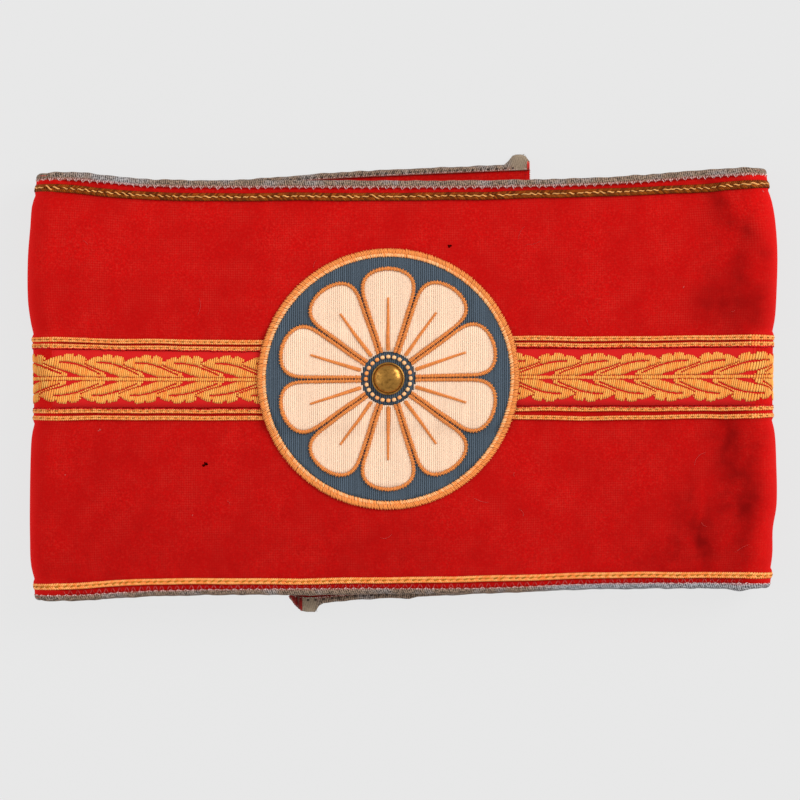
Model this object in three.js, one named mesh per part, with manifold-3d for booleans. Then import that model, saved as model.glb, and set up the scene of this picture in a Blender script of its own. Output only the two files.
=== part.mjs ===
// A cloth armband laid flat: one long strip of wool goes round as a flattened loop and its two
// ends overlap behind. Both long edges are bound with folded tape and trimmed with a cord, a woven
// braid between four thin cords runs round the middle, and a round patch with a raised rim and a
// domed stud is sewn on the front.
//
// Every piece is described on the flat strip and then laid with place(along, across, out):
// along runs from the left flap's end, round the left fold, over the front, round the right fold
// to the right flap's end; across is measured from the braid's middle line, up being positive;
// out is the distance from the middle of the wool, positive on the side that carries the trims.

import * as THREE from 'three';
import { mergeVertices } from 'three/addons/utils/BufferGeometryUtils.js';
import Module from 'manifold-3d';

// Sizes of the layers, in millimetres.
const CLOTH = 1.2; // thickness of the wool with its stiffening
const SEAT = 0.3; // air left between two sewn layers
const TAPE = 0.6; // thickness of the binding's folded tape
const TRIM = 0.6; // thickness of cords, braid and patch
const RIM = 0.9; // thickness of the patch's stitched rim

// The flattened loop, seen along the arm.
const FOLD_RADIUS = 5.85; // of the wool's middle in each fold
const FOLD_X = 89.8; // from the middle of the front to each fold's centre
const SAG = 0.5; // how far the front sinks between the folds
const LEFT_FLAP_END = 33; // where the flap from the left fold ends, left to right
const RIGHT_FLAP_END = -29; // where the flap from the right fold ends
const RAMP_START = 68; // the right flap climbs onto the left one between these two
const RAMP_END = 44;
const FOLD_ZONE = 66; // the cloth bends more beyond this far from the middle
const DRAWN_ZONE = 52; // and the folds' outline shapes it beyond this far

// Across the strip, measured from the braid's middle line.
const TOP_EDGE = 51;
const BOTTOM_EDGE = -55;
const TOP_BINDING_WIDTH = 2;
const BOTTOM_BINDING_WIDTH = 1.6;
const BINDING_CORNER = 0.35; // how far its outer corners are rounded off
const EDGE_CORD_WIDTH = 2;
const TOP_CORD_INSET = 4; // from the strip's edge to the cord's middle
const BOTTOM_CORD_INSET = 3.6;
const BRAID_WIDTH = 14.6;
const BRAID_CORD_WIDTH = 1.2;
const INNER_CORD_AT = 8.2; // from the braid's middle line to each cord's middle
const OUTER_CORD_AT = 10;

// The patch on the front, and the stud through its middle.
const PATCH_X = -3.5;
const PATCH_RADIUS = 33.3;
const PATCH_SIDES = 48;
const PATCH_SLOPE = 4; // how far it takes to come down from the braid to the wool
const RIM_WIDTH = 1.9;
const STUD_RADIUS = 4.2;
const STUD_HEIGHT = 2;
const POST_RADIUS = 0.9;
const HOLE_RADIUS = 1.3;
const CLINCH_RADIUS = 2.4;
const CLINCH = 0.5; // thickness of the post's flattened end
const DOME_FOOT = 0.4; // height of the stud's upright edge

// Each tape's worn end stands out from the edge in a lobe. rise is how far it takes to rise, and
// fall is how far before the end it starts to fall to its height there.
const TOP_LOBE = { length: 6.6, rise: 2.8, height: 2.45, fall: 2, endHeight: 0.7 };
const BOTTOM_LOBE = { length: 8.2, rise: 1.6, height: 2, fall: 5.2, endHeight: 0.3 };

const LOW_Z = CLOTH / 2 + SEAT + TAPE; // the wool's middle where it lies on the table
const FLAP_STEP = CLOTH + 2 * (SEAT + TAPE) + SEAT; // from one flap's middle to the other's
const FOLD_LENGTH = Math.PI * FOLD_RADIUS;
const FACE = CLOTH / 2 + SEAT; // where a trim starts above the wool's middle
const TRIM_MARGIN = 2.5; // the trims stop this far short of the strip's raw ends
const BRAID_EDGE = OUTER_CORD_AT + BRAID_CORD_WIDTH / 2;

// Where each stretch of the strip starts, and where the strip ends.
const LEFT_FOLD = LEFT_FLAP_END + FOLD_X;
const FRONT = LEFT_FOLD + FOLD_LENGTH;
const RIGHT_FOLD = FRONT + 2 * FOLD_X;
const RIGHT_FLAP = RIGHT_FOLD + FOLD_LENGTH;
const STRIP_END = RIGHT_FLAP + FOLD_X - RIGHT_FLAP_END;

const onLeftFlap = (x) => LEFT_FLAP_END - x;
const onFront = (x) => FRONT + x + FOLD_X;
const onRightFlap = (x) => RIGHT_FLAP + FOLD_X - x;

// How the strip wanders on the table: the height of its edges and of the braid's two inner cords.
const LINES = [
  { along: onLeftFlap(LEFT_FLAP_END), top: 55.85, upper: 12.6, lower: -3.8, bottom: -50.4 },
  { along: onLeftFlap(-15), top: 53.7, upper: 10.4, lower: -6.0, bottom: -52.7 },
  { along: onLeftFlap(-36), top: 52.1, upper: 9.1, lower: -7.3, bottom: -54.1 },
  { along: onLeftFlap(-60), top: 51.0, upper: 8.2, lower: -8.2, bottom: -55.0 },
  { along: LEFT_FOLD, top: 52.5, upper: 8.4, lower: -8.3, bottom: -56.5 },
  { along: onFront(-88), top: 53.0, upper: 8.45, lower: -8.25, bottom: -56.9 },
  { along: onFront(-64), top: 51.25, upper: 8.0, lower: -8.15, bottom: -55.7 },
  { along: onFront(-20), top: 51.0, upper: 7.9, lower: -8.05, bottom: -55.1 },
  { along: onFront(20), top: 51.0, upper: 8.6, lower: -7.7, bottom: -55.0 },
  { along: onFront(52), top: 51.8, upper: 8.6, lower: -7.65, bottom: -53.8 },
  { along: onFront(88), top: 54.1, upper: 9.0, lower: -7.6, bottom: -53.7 },
  { along: RIGHT_FLAP, top: 54.0, upper: 9.1, lower: -7.5, bottom: -53.7 },
  { along: onRightFlap(60), top: 51.6, upper: 8.9, lower: -7.5, bottom: -53.6 },
  { along: onRightFlap(12), top: 50.3, upper: 7.7, lower: -8.7, bottom: -55.8 },
  { along: onRightFlap(-12), top: 49.2, upper: 6.6, lower: -9.8, bottom: -57.0 },
  { along: onRightFlap(-24), top: 48.3, upper: 5.8, lower: -10.6, bottom: -58.0 },
  { along: onRightFlap(RIGHT_FLAP_END), top: 47.8, upper: 5.4, lower: -11.0, bottom: -57.3 },
];

// How far each fold is drawn in from its furthest reach, going up across the strip.
const FOLD_LINE = [
  { across: BOTTOM_EDGE, left: 2.6, right: 2.4 },
  { across: -51, left: 2.25, right: 1.8 },
  { across: -46, left: 1.0, right: 1.1 },
  { across: -39.5, left: 0.75, right: 1.0 },
  { across: -33, left: 0.7, right: 0.0 },
  { across: -22, left: 0.85, right: 0.1 },
  { across: -14.5, left: 1.2, right: 0.5 },
  { across: -9.5, left: 2.2, right: 1.5 },
  { across: 9.5, left: 1.95, right: 1.35 },
  { across: 14.5, left: 0.9, right: 0.45 },
  { across: 20, left: 0.2, right: 0.05 },
  { across: 30, left: 0.2, right: -0.2 },
  { across: 38, left: 0.85, right: 0.35 },
  { across: 43, left: 1.3, right: 1.3 },
  { across: 47, left: 2.7, right: 2.75 },
  { across: TOP_EDGE, left: 3.0, right: 3.3 },
];

// The cloth's rows of points between its edges, close together where the folds' outline turns.
const CLOTH_ROWS = [-51, -46, -39.5, -33, -22, -9.5, 9.5, 20, 30, 38, 43, 47];

// Soft dents in the front: middle, half-length along the dent, half-width, depth and its lean.
const DENTS = [
  { x: 84, across: 27, long: 17, wide: 5, depth: 0.9, lean: -4 },
  { x: 82, across: -22, long: 15, wide: 5, depth: 0.8, lean: -8 },
  { x: 75, across: -43, long: 10, wide: 4, depth: 0.9, lean: 24 },
  { x: -78, across: -40, long: 12, wide: 7, depth: 0.4, lean: 10 },
];

// A smooth rise from 0 at the first value to 1 at the second.
const between = (start, end, value) => {
  const share = Math.min(1, Math.max(0, (value - start) / (end - start)));
  return share * share * (3 - 2 * share);
};

// A smooth line through one column of a table, by the row's key.
function sample(rows, key, column, at) {
  const last = rows.length - 1;
  const held = Math.min(rows[last][key], Math.max(rows[0][key], at));
  let i = 0;
  while (i < last - 1 && held > rows[i + 1][key]) i += 1;
  const slope = (j) => {
    const a = rows[Math.max(0, j - 1)];
    const b = rows[Math.min(last, j + 1)];
    return (b[column] - a[column]) / (b[key] - a[key]);
  };
  const width = rows[i + 1][key] - rows[i][key];
  const s = (held - rows[i][key]) / width;
  const start = rows[i][column] * (1 + 2 * s) * (1 - s) ** 2 + slope(i) * width * s * (1 - s) ** 2;
  const end = rows[i + 1][column] * s * s * (3 - 2 * s) - slope(i + 1) * width * s * s * (1 - s);
  return start + end;
}

// The loop's line seen along the arm, with its direction outwards.
function loopLine(along) {
  const onTable = { outX: 0, outZ: -1 };
  if (along < LEFT_FOLD) return { x: LEFT_FLAP_END - along, z: LOW_Z, ...onTable };
  if (along < FRONT) {
    const turn = (along - LEFT_FOLD) / FOLD_RADIUS;
    const outX = -Math.sin(turn);
    const outZ = -Math.cos(turn);
    return { x: -FOLD_X + FOLD_RADIUS * outX, z: LOW_Z + FOLD_RADIUS * (1 + outZ), outX, outZ };
  }
  if (along < RIGHT_FOLD) {
    const x = along - FRONT - FOLD_X;
    const sunk = SAG * Math.cos((Math.PI * x) / (2 * FOLD_X)) ** 2;
    return { x, z: LOW_Z + 2 * FOLD_RADIUS - sunk, outX: 0, outZ: 1 };
  }
  if (along < RIGHT_FLAP) {
    const turn = (along - RIGHT_FOLD) / FOLD_RADIUS;
    const outX = Math.sin(turn);
    const outZ = Math.cos(turn);
    return { x: FOLD_X + FOLD_RADIUS * outX, z: LOW_Z + FOLD_RADIUS * (1 + outZ), outX, outZ };
  }
  const x = FOLD_X - (along - RIGHT_FLAP);
  return { x, z: LOW_Z + FLAP_STEP * (1 - between(RAMP_END, RAMP_START, x)), ...onTable };
}

// How deep the dents are at a point of the strip.
function dentAt(along, across) {
  let depth = 0;
  for (const dent of DENTS) {
    const lean = THREE.MathUtils.degToRad(dent.lean);
    const dx = along - onFront(dent.x);
    const dy = across - dent.across;
    const down = (dy * Math.cos(lean) - dx * Math.sin(lean)) / dent.long;
    const aside = (dx * Math.cos(lean) + dy * Math.sin(lean)) / dent.wide;
    depth += dent.depth * Math.exp(-down * down - aside * aside);
  }
  return depth;
}

// The height of a point of the strip on the table, between its edges and the braid's inner cords.
function heightOf(along, across) {
  const marks = [
    { at: BOTTOM_EDGE, line: 'bottom' },
    { at: -INNER_CORD_AT, line: 'lower' },
    { at: INNER_CORD_AT, line: 'upper' },
    { at: TOP_EDGE, line: 'top' },
  ];
  let i = 0;
  while (i < marks.length - 2 && across > marks[i + 1].at) i += 1;
  const share = (across - marks[i].at) / (marks[i + 1].at - marks[i].at);
  const below = sample(LINES, 'along', marks[i].line, along);
  const above = sample(LINES, 'along', marks[i + 1].line, along);
  return below + share * (above - below);
}

// The middle of the wool at a point of the strip.
function middle(along, across) {
  const line = loopLine(along);
  const y = heightOf(along, across);
  const side = line.x < 0 ? 'left' : 'right';
  const nearFold = between(DRAWN_ZONE, FOLD_X + FOLD_RADIUS, Math.abs(line.x));
  const drawnIn = -Math.sign(line.x) * nearFold * sample(FOLD_LINE, 'across', side, across);
  const dent = dentAt(along, across);
  return new THREE.Vector3(line.x + drawnIn - dent * line.outX, y, line.z - dent * line.outZ);
}

// A point at a distance out from the middle of the wool.
function place(along, across, out) {
  const step = 0.05;
  const alongside = middle(along + step, across).sub(middle(along - step, across));
  const upwards = middle(along, across + step).sub(middle(along, across - step));
  const outwards = alongside.cross(upwards).normalize();
  return middle(along, across).addScaledVector(outwards, out);
}

// The stations along a stretch: evenly spaced, with the last one left to the next stretch.
function stations(stretches) {
  const list = stretches.flatMap(({ from, to, steps }) =>
    Array.from({ length: steps }, (_, i) => from + ((to - from) * i) / steps),
  );
  return [...list, stretches[stretches.length - 1].to];
}

const WHOLE_STRIP = stations([
  { from: 0, to: TOP_LOBE.length, steps: 5 },
  { from: TOP_LOBE.length, to: onLeftFlap(-FOLD_ZONE), steps: 6 },
  { from: onLeftFlap(-FOLD_ZONE), to: LEFT_FOLD, steps: 3 },
  { from: LEFT_FOLD, to: FRONT, steps: 8 },
  { from: FRONT, to: onFront(-FOLD_ZONE), steps: 3 },
  { from: onFront(-FOLD_ZONE), to: onFront(FOLD_ZONE), steps: 7 },
  { from: onFront(FOLD_ZONE), to: RIGHT_FOLD, steps: 7 },
  { from: RIGHT_FOLD, to: RIGHT_FLAP, steps: 8 },
  { from: RIGHT_FLAP, to: onRightFlap(RAMP_START), steps: 2 },
  { from: onRightFlap(RAMP_START), to: onRightFlap(RAMP_END), steps: 4 },
  { from: onRightFlap(RAMP_END), to: STRIP_END - BOTTOM_LOBE.length, steps: 4 },
  { from: STRIP_END - BOTTOM_LOBE.length, to: STRIP_END, steps: 6 },
]);

// A closed geometry, with its faces turned outwards.
function closed(points, faces) {
  const volume = faces.reduce((sum, [a, b, c]) => {
    const cross = points[b].clone().cross(points[c]);
    return sum + points[a].dot(cross);
  }, 0);
  const turned = volume < 0 ? faces.map(([a, b, c]) => [a, c, b]) : faces;
  const geometry = new THREE.BufferGeometry().setFromPoints(points);
  geometry.setIndex(turned.flat());
  return geometry;
}

// A section of [across, out] corners, counter-clockwise, carried along the strip.
function swept(list, sectionAt) {
  const corners = sectionAt(list[0]).length;
  const points = list.flatMap((along) =>
    sectionAt(along).map(([across, out]) => place(along, across, out)),
  );
  const faces = [];
  for (let i = 0; i + 1 < list.length; i += 1) {
    for (let j = 0; j < corners; j += 1) {
      const next = (j + 1) % corners;
      const [a, b] = [i * corners + j, i * corners + next];
      faces.push([a, b, b + corners], [a, b + corners, a + corners]);
    }
  }
  const outline = sectionAt(list[0]).map(([across, out]) => new THREE.Vector2(across, out));
  const end = (list.length - 1) * corners;
  for (const [a, b, c] of THREE.ShapeUtils.triangulateShape(outline, [])) {
    faces.push([a, c, b], [a + end, b + end, c + end]);
  }
  return closed(points, faces);
}

// A layer between two distances out, over a grid of the strip. low and high take (across).
function layer(alongList, acrossList, low, high) {
  const rows = acrossList.length;
  const sheet = (out) =>
    alongList.flatMap((along) => acrossList.map((across) => place(along, across, out(across))));
  const points = [...sheet(low), ...sheet(high)];
  const lift = points.length / 2;
  const faces = [];
  const wall = (a, b) => faces.push([a, b, b + lift], [a, b + lift, a + lift]);
  for (let i = 0; i + 1 < alongList.length; i += 1) {
    for (let j = 0; j + 1 < rows; j += 1) {
      const a = i * rows + j;
      const [b, c, d] = [a + rows, a + rows + 1, a + 1];
      faces.push([a, c, b], [a, d, c]);
      faces.push([a + lift, b + lift, c + lift], [a + lift, c + lift, d + lift]);
    }
    wall(i * rows, (i + 1) * rows);
    wall((i + 2) * rows - 1, (i + 1) * rows - 1);
  }
  const lastRow = (alongList.length - 1) * rows;
  for (let j = 0; j + 1 < rows; j += 1) {
    wall(j + 1, j);
    wall(lastRow + j, lastRow + j + 1);
  }
  return closed(points, faces);
}

const wasm = await Module();
wasm.setup();

function toSolid(geometry) {
  const bare = geometry.clone();
  bare.deleteAttribute('normal');
  bare.deleteAttribute('uv');
  const merged = mergeVertices(bare, 1e-4);
  return new wasm.Manifold(
    new wasm.Mesh({
      numProp: 3,
      vertProperties: merged.attributes.position.array,
      triVerts: new Uint32Array(merged.index.array),
    }),
  );
}

function toGeometry(solid) {
  const mesh = solid.getMesh();
  const geometry = new THREE.BufferGeometry();
  geometry.setAttribute('position', new THREE.BufferAttribute(mesh.vertProperties, 3));
  geometry.setIndex(new THREE.BufferAttribute(mesh.triVerts, 1));
  return geometry;
}

// An upright cylinder through the patch's middle, for cutting.
function plug(radius, sides) {
  const reach = 12;
  const geometry = new THREE.CylinderGeometry(radius, radius, 2 * reach, sides);
  geometry.rotateX(Math.PI / 2);
  const at = place(onFront(PATCH_X), 0, 0);
  geometry.translate(at.x, at.y, at.z + FOLD_RADIUS);
  return toSolid(geometry);
}

const postHole = () => plug(HOLE_RADIUS, 12);

const cloth = (color, roughness) =>
  new THREE.MeshStandardMaterial({ color, roughness, metalness: 0 });
const RED_WOOL = cloth(0xc41512, 0.95);
const GREY_TAPE = cloth(0x8d8478, 0.9);
const BRONZE_CORD = cloth(0x8a5a18, 0.7);
const GOLD_CORD = cloth(0xf0964a, 0.65);
const RED_BRAID = cloth(0xc2151c, 0.8);
const SLATE_SILK = cloth(0x51606e, 0.6);
const BRASS = new THREE.MeshStandardMaterial({ color: 0xb08a45, roughness: 0.35, metalness: 1 });

const band = new THREE.Group();

function add(name, geometry, material) {
  const mesh = new THREE.Mesh(geometry, material);
  mesh.name = name;
  band.add(mesh);
  return mesh;
}

// The wool strip, its edges inside the folded tape.
function bandCloth() {
  const inset = TAPE + SEAT;
  const acrossList = [BOTTOM_EDGE + inset, ...CLOTH_ROWS, TOP_EDGE - inset];
  const strip = layer(WHOLE_STRIP, acrossList, () => -CLOTH / 2, () => CLOTH / 2);
  return toGeometry(toSolid(strip).subtract(postHole()));
}

// How far the worn end of a tape stands out, by the distance from its end.
function standOut(lobe, fromEnd) {
  const risen = lobe.height * between(lobe.length, lobe.length - lobe.rise, fromEnd);
  return risen - (lobe.height - lobe.endHeight) * between(lobe.fall, 0, fromEnd);
}

// Tape folded over one long edge: a U of web and two legs, wider at its worn end.
function binding({ edge, width, lobe, fromWornEnd }) {
  const inwards = -Math.sign(edge);
  const inner = CLOTH / 2 + SEAT;
  const outer = inner + TAPE;
  return swept(WHOLE_STRIP, (along) => {
    const web = edge - inwards * standOut(lobe, fromWornEnd(along));
    const pocket = edge + inwards * TAPE;
    const leg = edge + inwards * width;
    const softened = web + inwards * BINDING_CORNER;
    const corners = [
      [leg, inner], [leg, outer], [softened, outer], [web, inner],
      [web, -inner], [softened, -outer], [leg, -outer], [leg, -inner],
      [pocket, -inner], [pocket, inner],
    ];
    return inwards < 0 ? corners.reverse() : corners;
  });
}

// The stations of a trim, which stops short of both ends.
function trimStations() {
  const first = TRIM_MARGIN;
  const last = STRIP_END - TRIM_MARGIN;
  return [first, ...WHOLE_STRIP.filter((along) => along > first && along < last), last];
}

// A flat plaited cord sewn down along the strip, narrower on top.
function cord(middleLine, width) {
  const foot = width / 2;
  const top = foot * 0.6;
  return swept(trimStations(), () => [
    [middleLine - foot, FACE],
    [middleLine + foot, FACE],
    [middleLine + top, FACE + TRIM],
    [middleLine - top, FACE + TRIM],
  ]);
}

// The woven braid that lies between the four thin cords.
function braidRibbon() {
  const half = BRAID_WIDTH / 2;
  const ribbon = layer(trimStations(), [-half, 0, half], () => FACE, () => FACE + TRIM);
  return toGeometry(toSolid(ribbon).subtract(postHole()));
}

// The patch rides up over the braid and its cords, and lies on the wool beside them.
function patchSeat(across) {
  const start = BRAID_EDGE + SEAT;
  return FACE + (TRIM + SEAT) * (1 - between(start, start + PATCH_SLOPE, Math.abs(across)));
}

function patchLayer(thickness) {
  const reach = PATCH_RADIUS + 1;
  const centre = onFront(PATCH_X);
  const alongList = stations([{ from: centre - reach, to: centre + reach, steps: 8 }]);
  const upperHalf = stations([
    { from: BRAID_EDGE + SEAT, to: BRAID_EDGE + SEAT + PATCH_SLOPE, steps: 3 },
    { from: BRAID_EDGE + SEAT + PATCH_SLOPE, to: reach, steps: 2 },
  ]);
  const lowerHalf = upperHalf.map((across) => -across).reverse();
  const acrossList = [...lowerHalf, 0, ...upperHalf];
  const top = (across) => patchSeat(across) + thickness;
  return toSolid(layer(alongList, acrossList, patchSeat, top));
}

function patchGround() {
  const disc = plug(PATCH_RADIUS - RIM_WIDTH - SEAT, PATCH_SIDES);
  return toGeometry(patchLayer(TRIM).intersect(disc).subtract(postHole()));
}

function patchRim() {
  const inner = plug(PATCH_RADIUS - RIM_WIDTH, PATCH_SIDES);
  const ring = plug(PATCH_RADIUS, PATCH_SIDES).subtract(inner);
  return toGeometry(patchLayer(RIM).intersect(ring));
}

// A domed stud on the patch: its post goes through all layers and is clinched behind.
function centreStud() {
  const foot = patchSeat(0) + TRIM + SEAT;
  const back = -CLOTH / 2 - SEAT;
  const domeSteps = 5;
  const dome = Array.from({ length: domeSteps }, (_, i) => {
    const turn = (Math.PI / 2) * (i / domeSteps);
    const height = foot + DOME_FOOT + (STUD_HEIGHT - DOME_FOOT) * Math.sin(turn);
    return new THREE.Vector2(STUD_RADIUS * Math.cos(turn), height);
  });
  const profile = [
    new THREE.Vector2(0, back - CLINCH),
    new THREE.Vector2(CLINCH_RADIUS, back - CLINCH),
    new THREE.Vector2(CLINCH_RADIUS, back),
    new THREE.Vector2(POST_RADIUS, back),
    new THREE.Vector2(POST_RADIUS, foot),
    new THREE.Vector2(STUD_RADIUS, foot),
    ...dome,
    new THREE.Vector2(0, foot + STUD_HEIGHT),
  ];
  return new THREE.LatheGeometry(profile, 20).rotateX(Math.PI / 2);
}

const braidCords = {
  braid_cord_top_outer: OUTER_CORD_AT,
  braid_cord_top_inner: INNER_CORD_AT,
  braid_cord_bottom_inner: -INNER_CORD_AT,
  braid_cord_bottom_outer: -OUTER_CORD_AT,
};

add('band_cloth', bandCloth(), RED_WOOL);
const topBinding = {
  edge: TOP_EDGE,
  width: TOP_BINDING_WIDTH,
  lobe: TOP_LOBE,
  fromWornEnd: (along) => along,
};
const bottomBinding = {
  edge: BOTTOM_EDGE,
  width: BOTTOM_BINDING_WIDTH,
  lobe: BOTTOM_LOBE,
  fromWornEnd: (along) => STRIP_END - along,
};
add('binding_top', binding(topBinding), GREY_TAPE);
add('binding_bottom', binding(bottomBinding), GREY_TAPE);
add('edge_cord_top', cord(TOP_EDGE - TOP_CORD_INSET, EDGE_CORD_WIDTH), BRONZE_CORD);
add('edge_cord_bottom', cord(BOTTOM_EDGE + BOTTOM_CORD_INSET, EDGE_CORD_WIDTH), GOLD_CORD);
add('braid_ribbon', braidRibbon(), RED_BRAID);
for (const [name, line] of Object.entries(braidCords)) {
  add(name, cord(line, BRAID_CORD_WIDTH), GOLD_CORD);
}
add('patch_ground', patchGround(), SLATE_SILK);
add('patch_rim', patchRim(), GOLD_CORD);
const stud = add('centre_stud', centreStud(), BRASS);
stud.position.copy(place(onFront(PATCH_X), 0, 0));

// The origin is under the middle of the whole armband, on the table.
const extent = new THREE.Box3().setFromObject(band);
const centre = extent.getCenter(new THREE.Vector3());
band.position.set(-centre.x, -centre.y, 0);

export default band;
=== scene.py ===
"""Dresses the armband: fulled wool, bound edges, plaited cords, a woven leaf braid and a patch.

Pieces are laid by strip coordinates in millimetres. along runs from the left flap's end, round the
left fold, over the front, round the right fold to the right flap's end. across is measured up from
the braid's middle line, and out from the wool's middle, positive on the side with the trims.
"""

import math
from functools import partial
from types import SimpleNamespace as Row

import bpy
import numpy as np
from bpy.props import FloatProperty, FloatVectorProperty, IntProperty, PointerProperty
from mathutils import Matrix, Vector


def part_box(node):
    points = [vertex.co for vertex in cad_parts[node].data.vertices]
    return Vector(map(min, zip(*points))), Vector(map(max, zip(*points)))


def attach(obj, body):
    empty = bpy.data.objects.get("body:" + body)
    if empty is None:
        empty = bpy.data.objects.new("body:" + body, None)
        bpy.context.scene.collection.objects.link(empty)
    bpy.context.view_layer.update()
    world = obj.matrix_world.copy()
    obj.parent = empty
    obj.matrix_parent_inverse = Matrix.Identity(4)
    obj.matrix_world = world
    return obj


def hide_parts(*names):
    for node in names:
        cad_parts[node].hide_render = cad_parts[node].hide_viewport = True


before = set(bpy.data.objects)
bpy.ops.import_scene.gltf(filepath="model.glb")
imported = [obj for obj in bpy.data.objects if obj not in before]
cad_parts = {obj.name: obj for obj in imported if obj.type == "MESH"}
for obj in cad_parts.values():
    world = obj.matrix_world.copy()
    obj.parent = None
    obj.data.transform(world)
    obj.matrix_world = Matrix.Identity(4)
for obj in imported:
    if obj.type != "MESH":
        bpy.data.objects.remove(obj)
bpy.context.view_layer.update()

bl_info = {
    "name": "Armband",
    "version": (1, 0, 0),
    "blender": (4, 5, 0),
    "location": "View3D > Sidebar > Armband",
    "description": "Wool, trims and embroidery of a cloth armband that lies flat",
    "category": "Object",
}

MM = 0.001
BODY = "root"

# The layers, in millimetres from the middle of the wool.
CLOTH = 1.2
SEAT = 0.3
TAPE = 0.6
TRIM = 0.6
WOOL_FACE = 0.72  # the nap stands a little out of the cloth and meets the trims
FACE = 0.7  # where a trim starts
TOP = CLOTH / 2 + SEAT + TRIM  # and where it ends

# The flattened loop, seen along the arm.
FOLD_RADIUS = 5.85
FOLD_X = 89.8
SAG = 0.5
LEFT_FLAP_END = 33
RIGHT_FLAP_END = -29
RAMP_START = 68
RAMP_END = 44
DRAWN_ZONE = 52

# Across the strip, from the braid's middle line.
TOP_EDGE = 51
BOTTOM_EDGE = -55
TOP_BINDING_WIDTH = 2
BOTTOM_BINDING_WIDTH = 1.6
EDGE_CORD_WIDTH = 2
TOP_CORD_INSET = 4
BOTTOM_CORD_INSET = 3.6
BRAID_WIDTH = 14.6
BRAID_CORD_WIDTH = 1.2
INNER_CORD_AT = 8.2
OUTER_CORD_AT = 10

# The patch and its stud.
PATCH_X = -3.5
PATCH_RADIUS = 33.3
PATCH_SLOPE = 4
RIM_WIDTH = 1.9
STUD_RADIUS = 4.2
STUD_HEIGHT = 2
STUD_LIP = 0.55
LIP_HALF = 0.27  # half the lip's height
DOME_FOOT = 0.45
POST_RADIUS = 0.9
CLINCH_RADIUS = 2.4
CLINCH = 0.5

LOW_Z = CLOTH / 2 + SEAT + TAPE
FLAP_STEP = CLOTH + 2 * (SEAT + TAPE) + SEAT
FOLD_LENGTH = math.pi * FOLD_RADIUS
TRIM_MARGIN = 2.5
BRAID_EDGE = OUTER_CORD_AT + BRAID_CORD_WIDTH / 2
LEFT_FOLD = LEFT_FLAP_END + FOLD_X
FRONT = LEFT_FOLD + FOLD_LENGTH
RIGHT_FOLD = FRONT + 2 * FOLD_X
RIGHT_FLAP = RIGHT_FOLD + FOLD_LENGTH
STRIP_END = RIGHT_FLAP + FOLD_X - RIGHT_FLAP_END
TRIM_END = STRIP_END - TRIM_MARGIN


def on_left_flap(x):
    return LEFT_FLAP_END - x


def on_front(x):
    return FRONT + x + FOLD_X


def on_right_flap(x):
    return RIGHT_FLAP + FOLD_X - x


PATCH_AT = on_front(PATCH_X)


def table(columns, *rows):
    """A table's rows, each with its values under its columns' names."""
    return [Row(**dict(zip(columns.split(), row))) for row in rows]


# How the strip wanders on the table: the height of its edges and of the braid's inner cords.
LINES = table(
    "along top upper lower bottom",
    (on_left_flap(LEFT_FLAP_END), 55.85, 12.6, -3.8, -50.4),
    (on_left_flap(-15), 53.7, 10.4, -6.0, -52.7),
    (on_left_flap(-36), 52.1, 9.1, -7.3, -54.1),
    (on_left_flap(-60), 51.0, 8.2, -8.2, -55.0),
    (LEFT_FOLD, 52.5, 8.4, -8.3, -56.5),
    (on_front(-88), 53.0, 8.45, -8.25, -56.9),
    (on_front(-64), 51.25, 8.0, -8.15, -55.7),
    (on_front(-20), 51.0, 7.9, -8.05, -55.1),
    (on_front(20), 51.0, 8.6, -7.7, -55.0),
    (on_front(52), 51.8, 8.6, -7.65, -53.8),
    (on_front(88), 54.1, 9.0, -7.6, -53.7),
    (RIGHT_FLAP, 54.0, 9.1, -7.5, -53.7),
    (on_right_flap(60), 51.6, 8.9, -7.5, -53.6),
    (on_right_flap(12), 50.3, 7.7, -8.7, -55.8),
    (on_right_flap(-12), 49.2, 6.6, -9.8, -57.0),
    (on_right_flap(-24), 48.3, 5.8, -10.6, -58.0),
    (STRIP_END, 47.8, 5.4, -11.0, -57.3),
)
# Which of these lines runs at which distance across the strip.
MARKS = [BOTTOM_EDGE, -INNER_CORD_AT, INNER_CORD_AT, TOP_EDGE]

# How far each fold is drawn in from its furthest reach, going up across the strip.
FOLD_LINE = table(
    "across left right",
    (BOTTOM_EDGE, 2.6, 2.4),
    (-51, 2.25, 1.8),
    (-46, 1.0, 1.1),
    (-39.5, 0.75, 1.0),
    (-33, 0.7, 0.0),
    (-22, 0.85, 0.1),
    (-14.5, 1.2, 0.5),
    (-9.5, 2.2, 1.5),
    (9.5, 1.95, 1.35),
    (14.5, 0.9, 0.45),
    (20, 0.2, 0.05),
    (30, 0.2, -0.2),
    (38, 0.85, 0.35),
    (43, 1.3, 1.3),
    (47, 2.7, 2.75),
    (TOP_EDGE, 3.0, 3.3),
)

# Soft dents in the front: middle, half-length along the dent, half-width, depth and lean. The first
# four are in the packed cloth, and the finer rest only in the dressed one. Below 0 it is a ridge.
DENTS = table(
    "x across long wide depth lean",
    (84, 27, 17, 5, 0.9, -4),
    (82, -22, 15, 5, 0.8, -8),
    (75, -43, 10, 4, 0.9, 24),
    (-78, -40, 12, 7, 0.4, 10),
    (80, -36, 8, 3, -0.55, 20),
    (79.5, 42, 6, 3, 0.35, -22),
    (86.5, 34, 6, 2.6, 0.4, -42),
    (84.5, -16, 5, 2.4, 0.45, 12),
    (87.5, -29, 8, 3, 0.45, -14),
)

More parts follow.
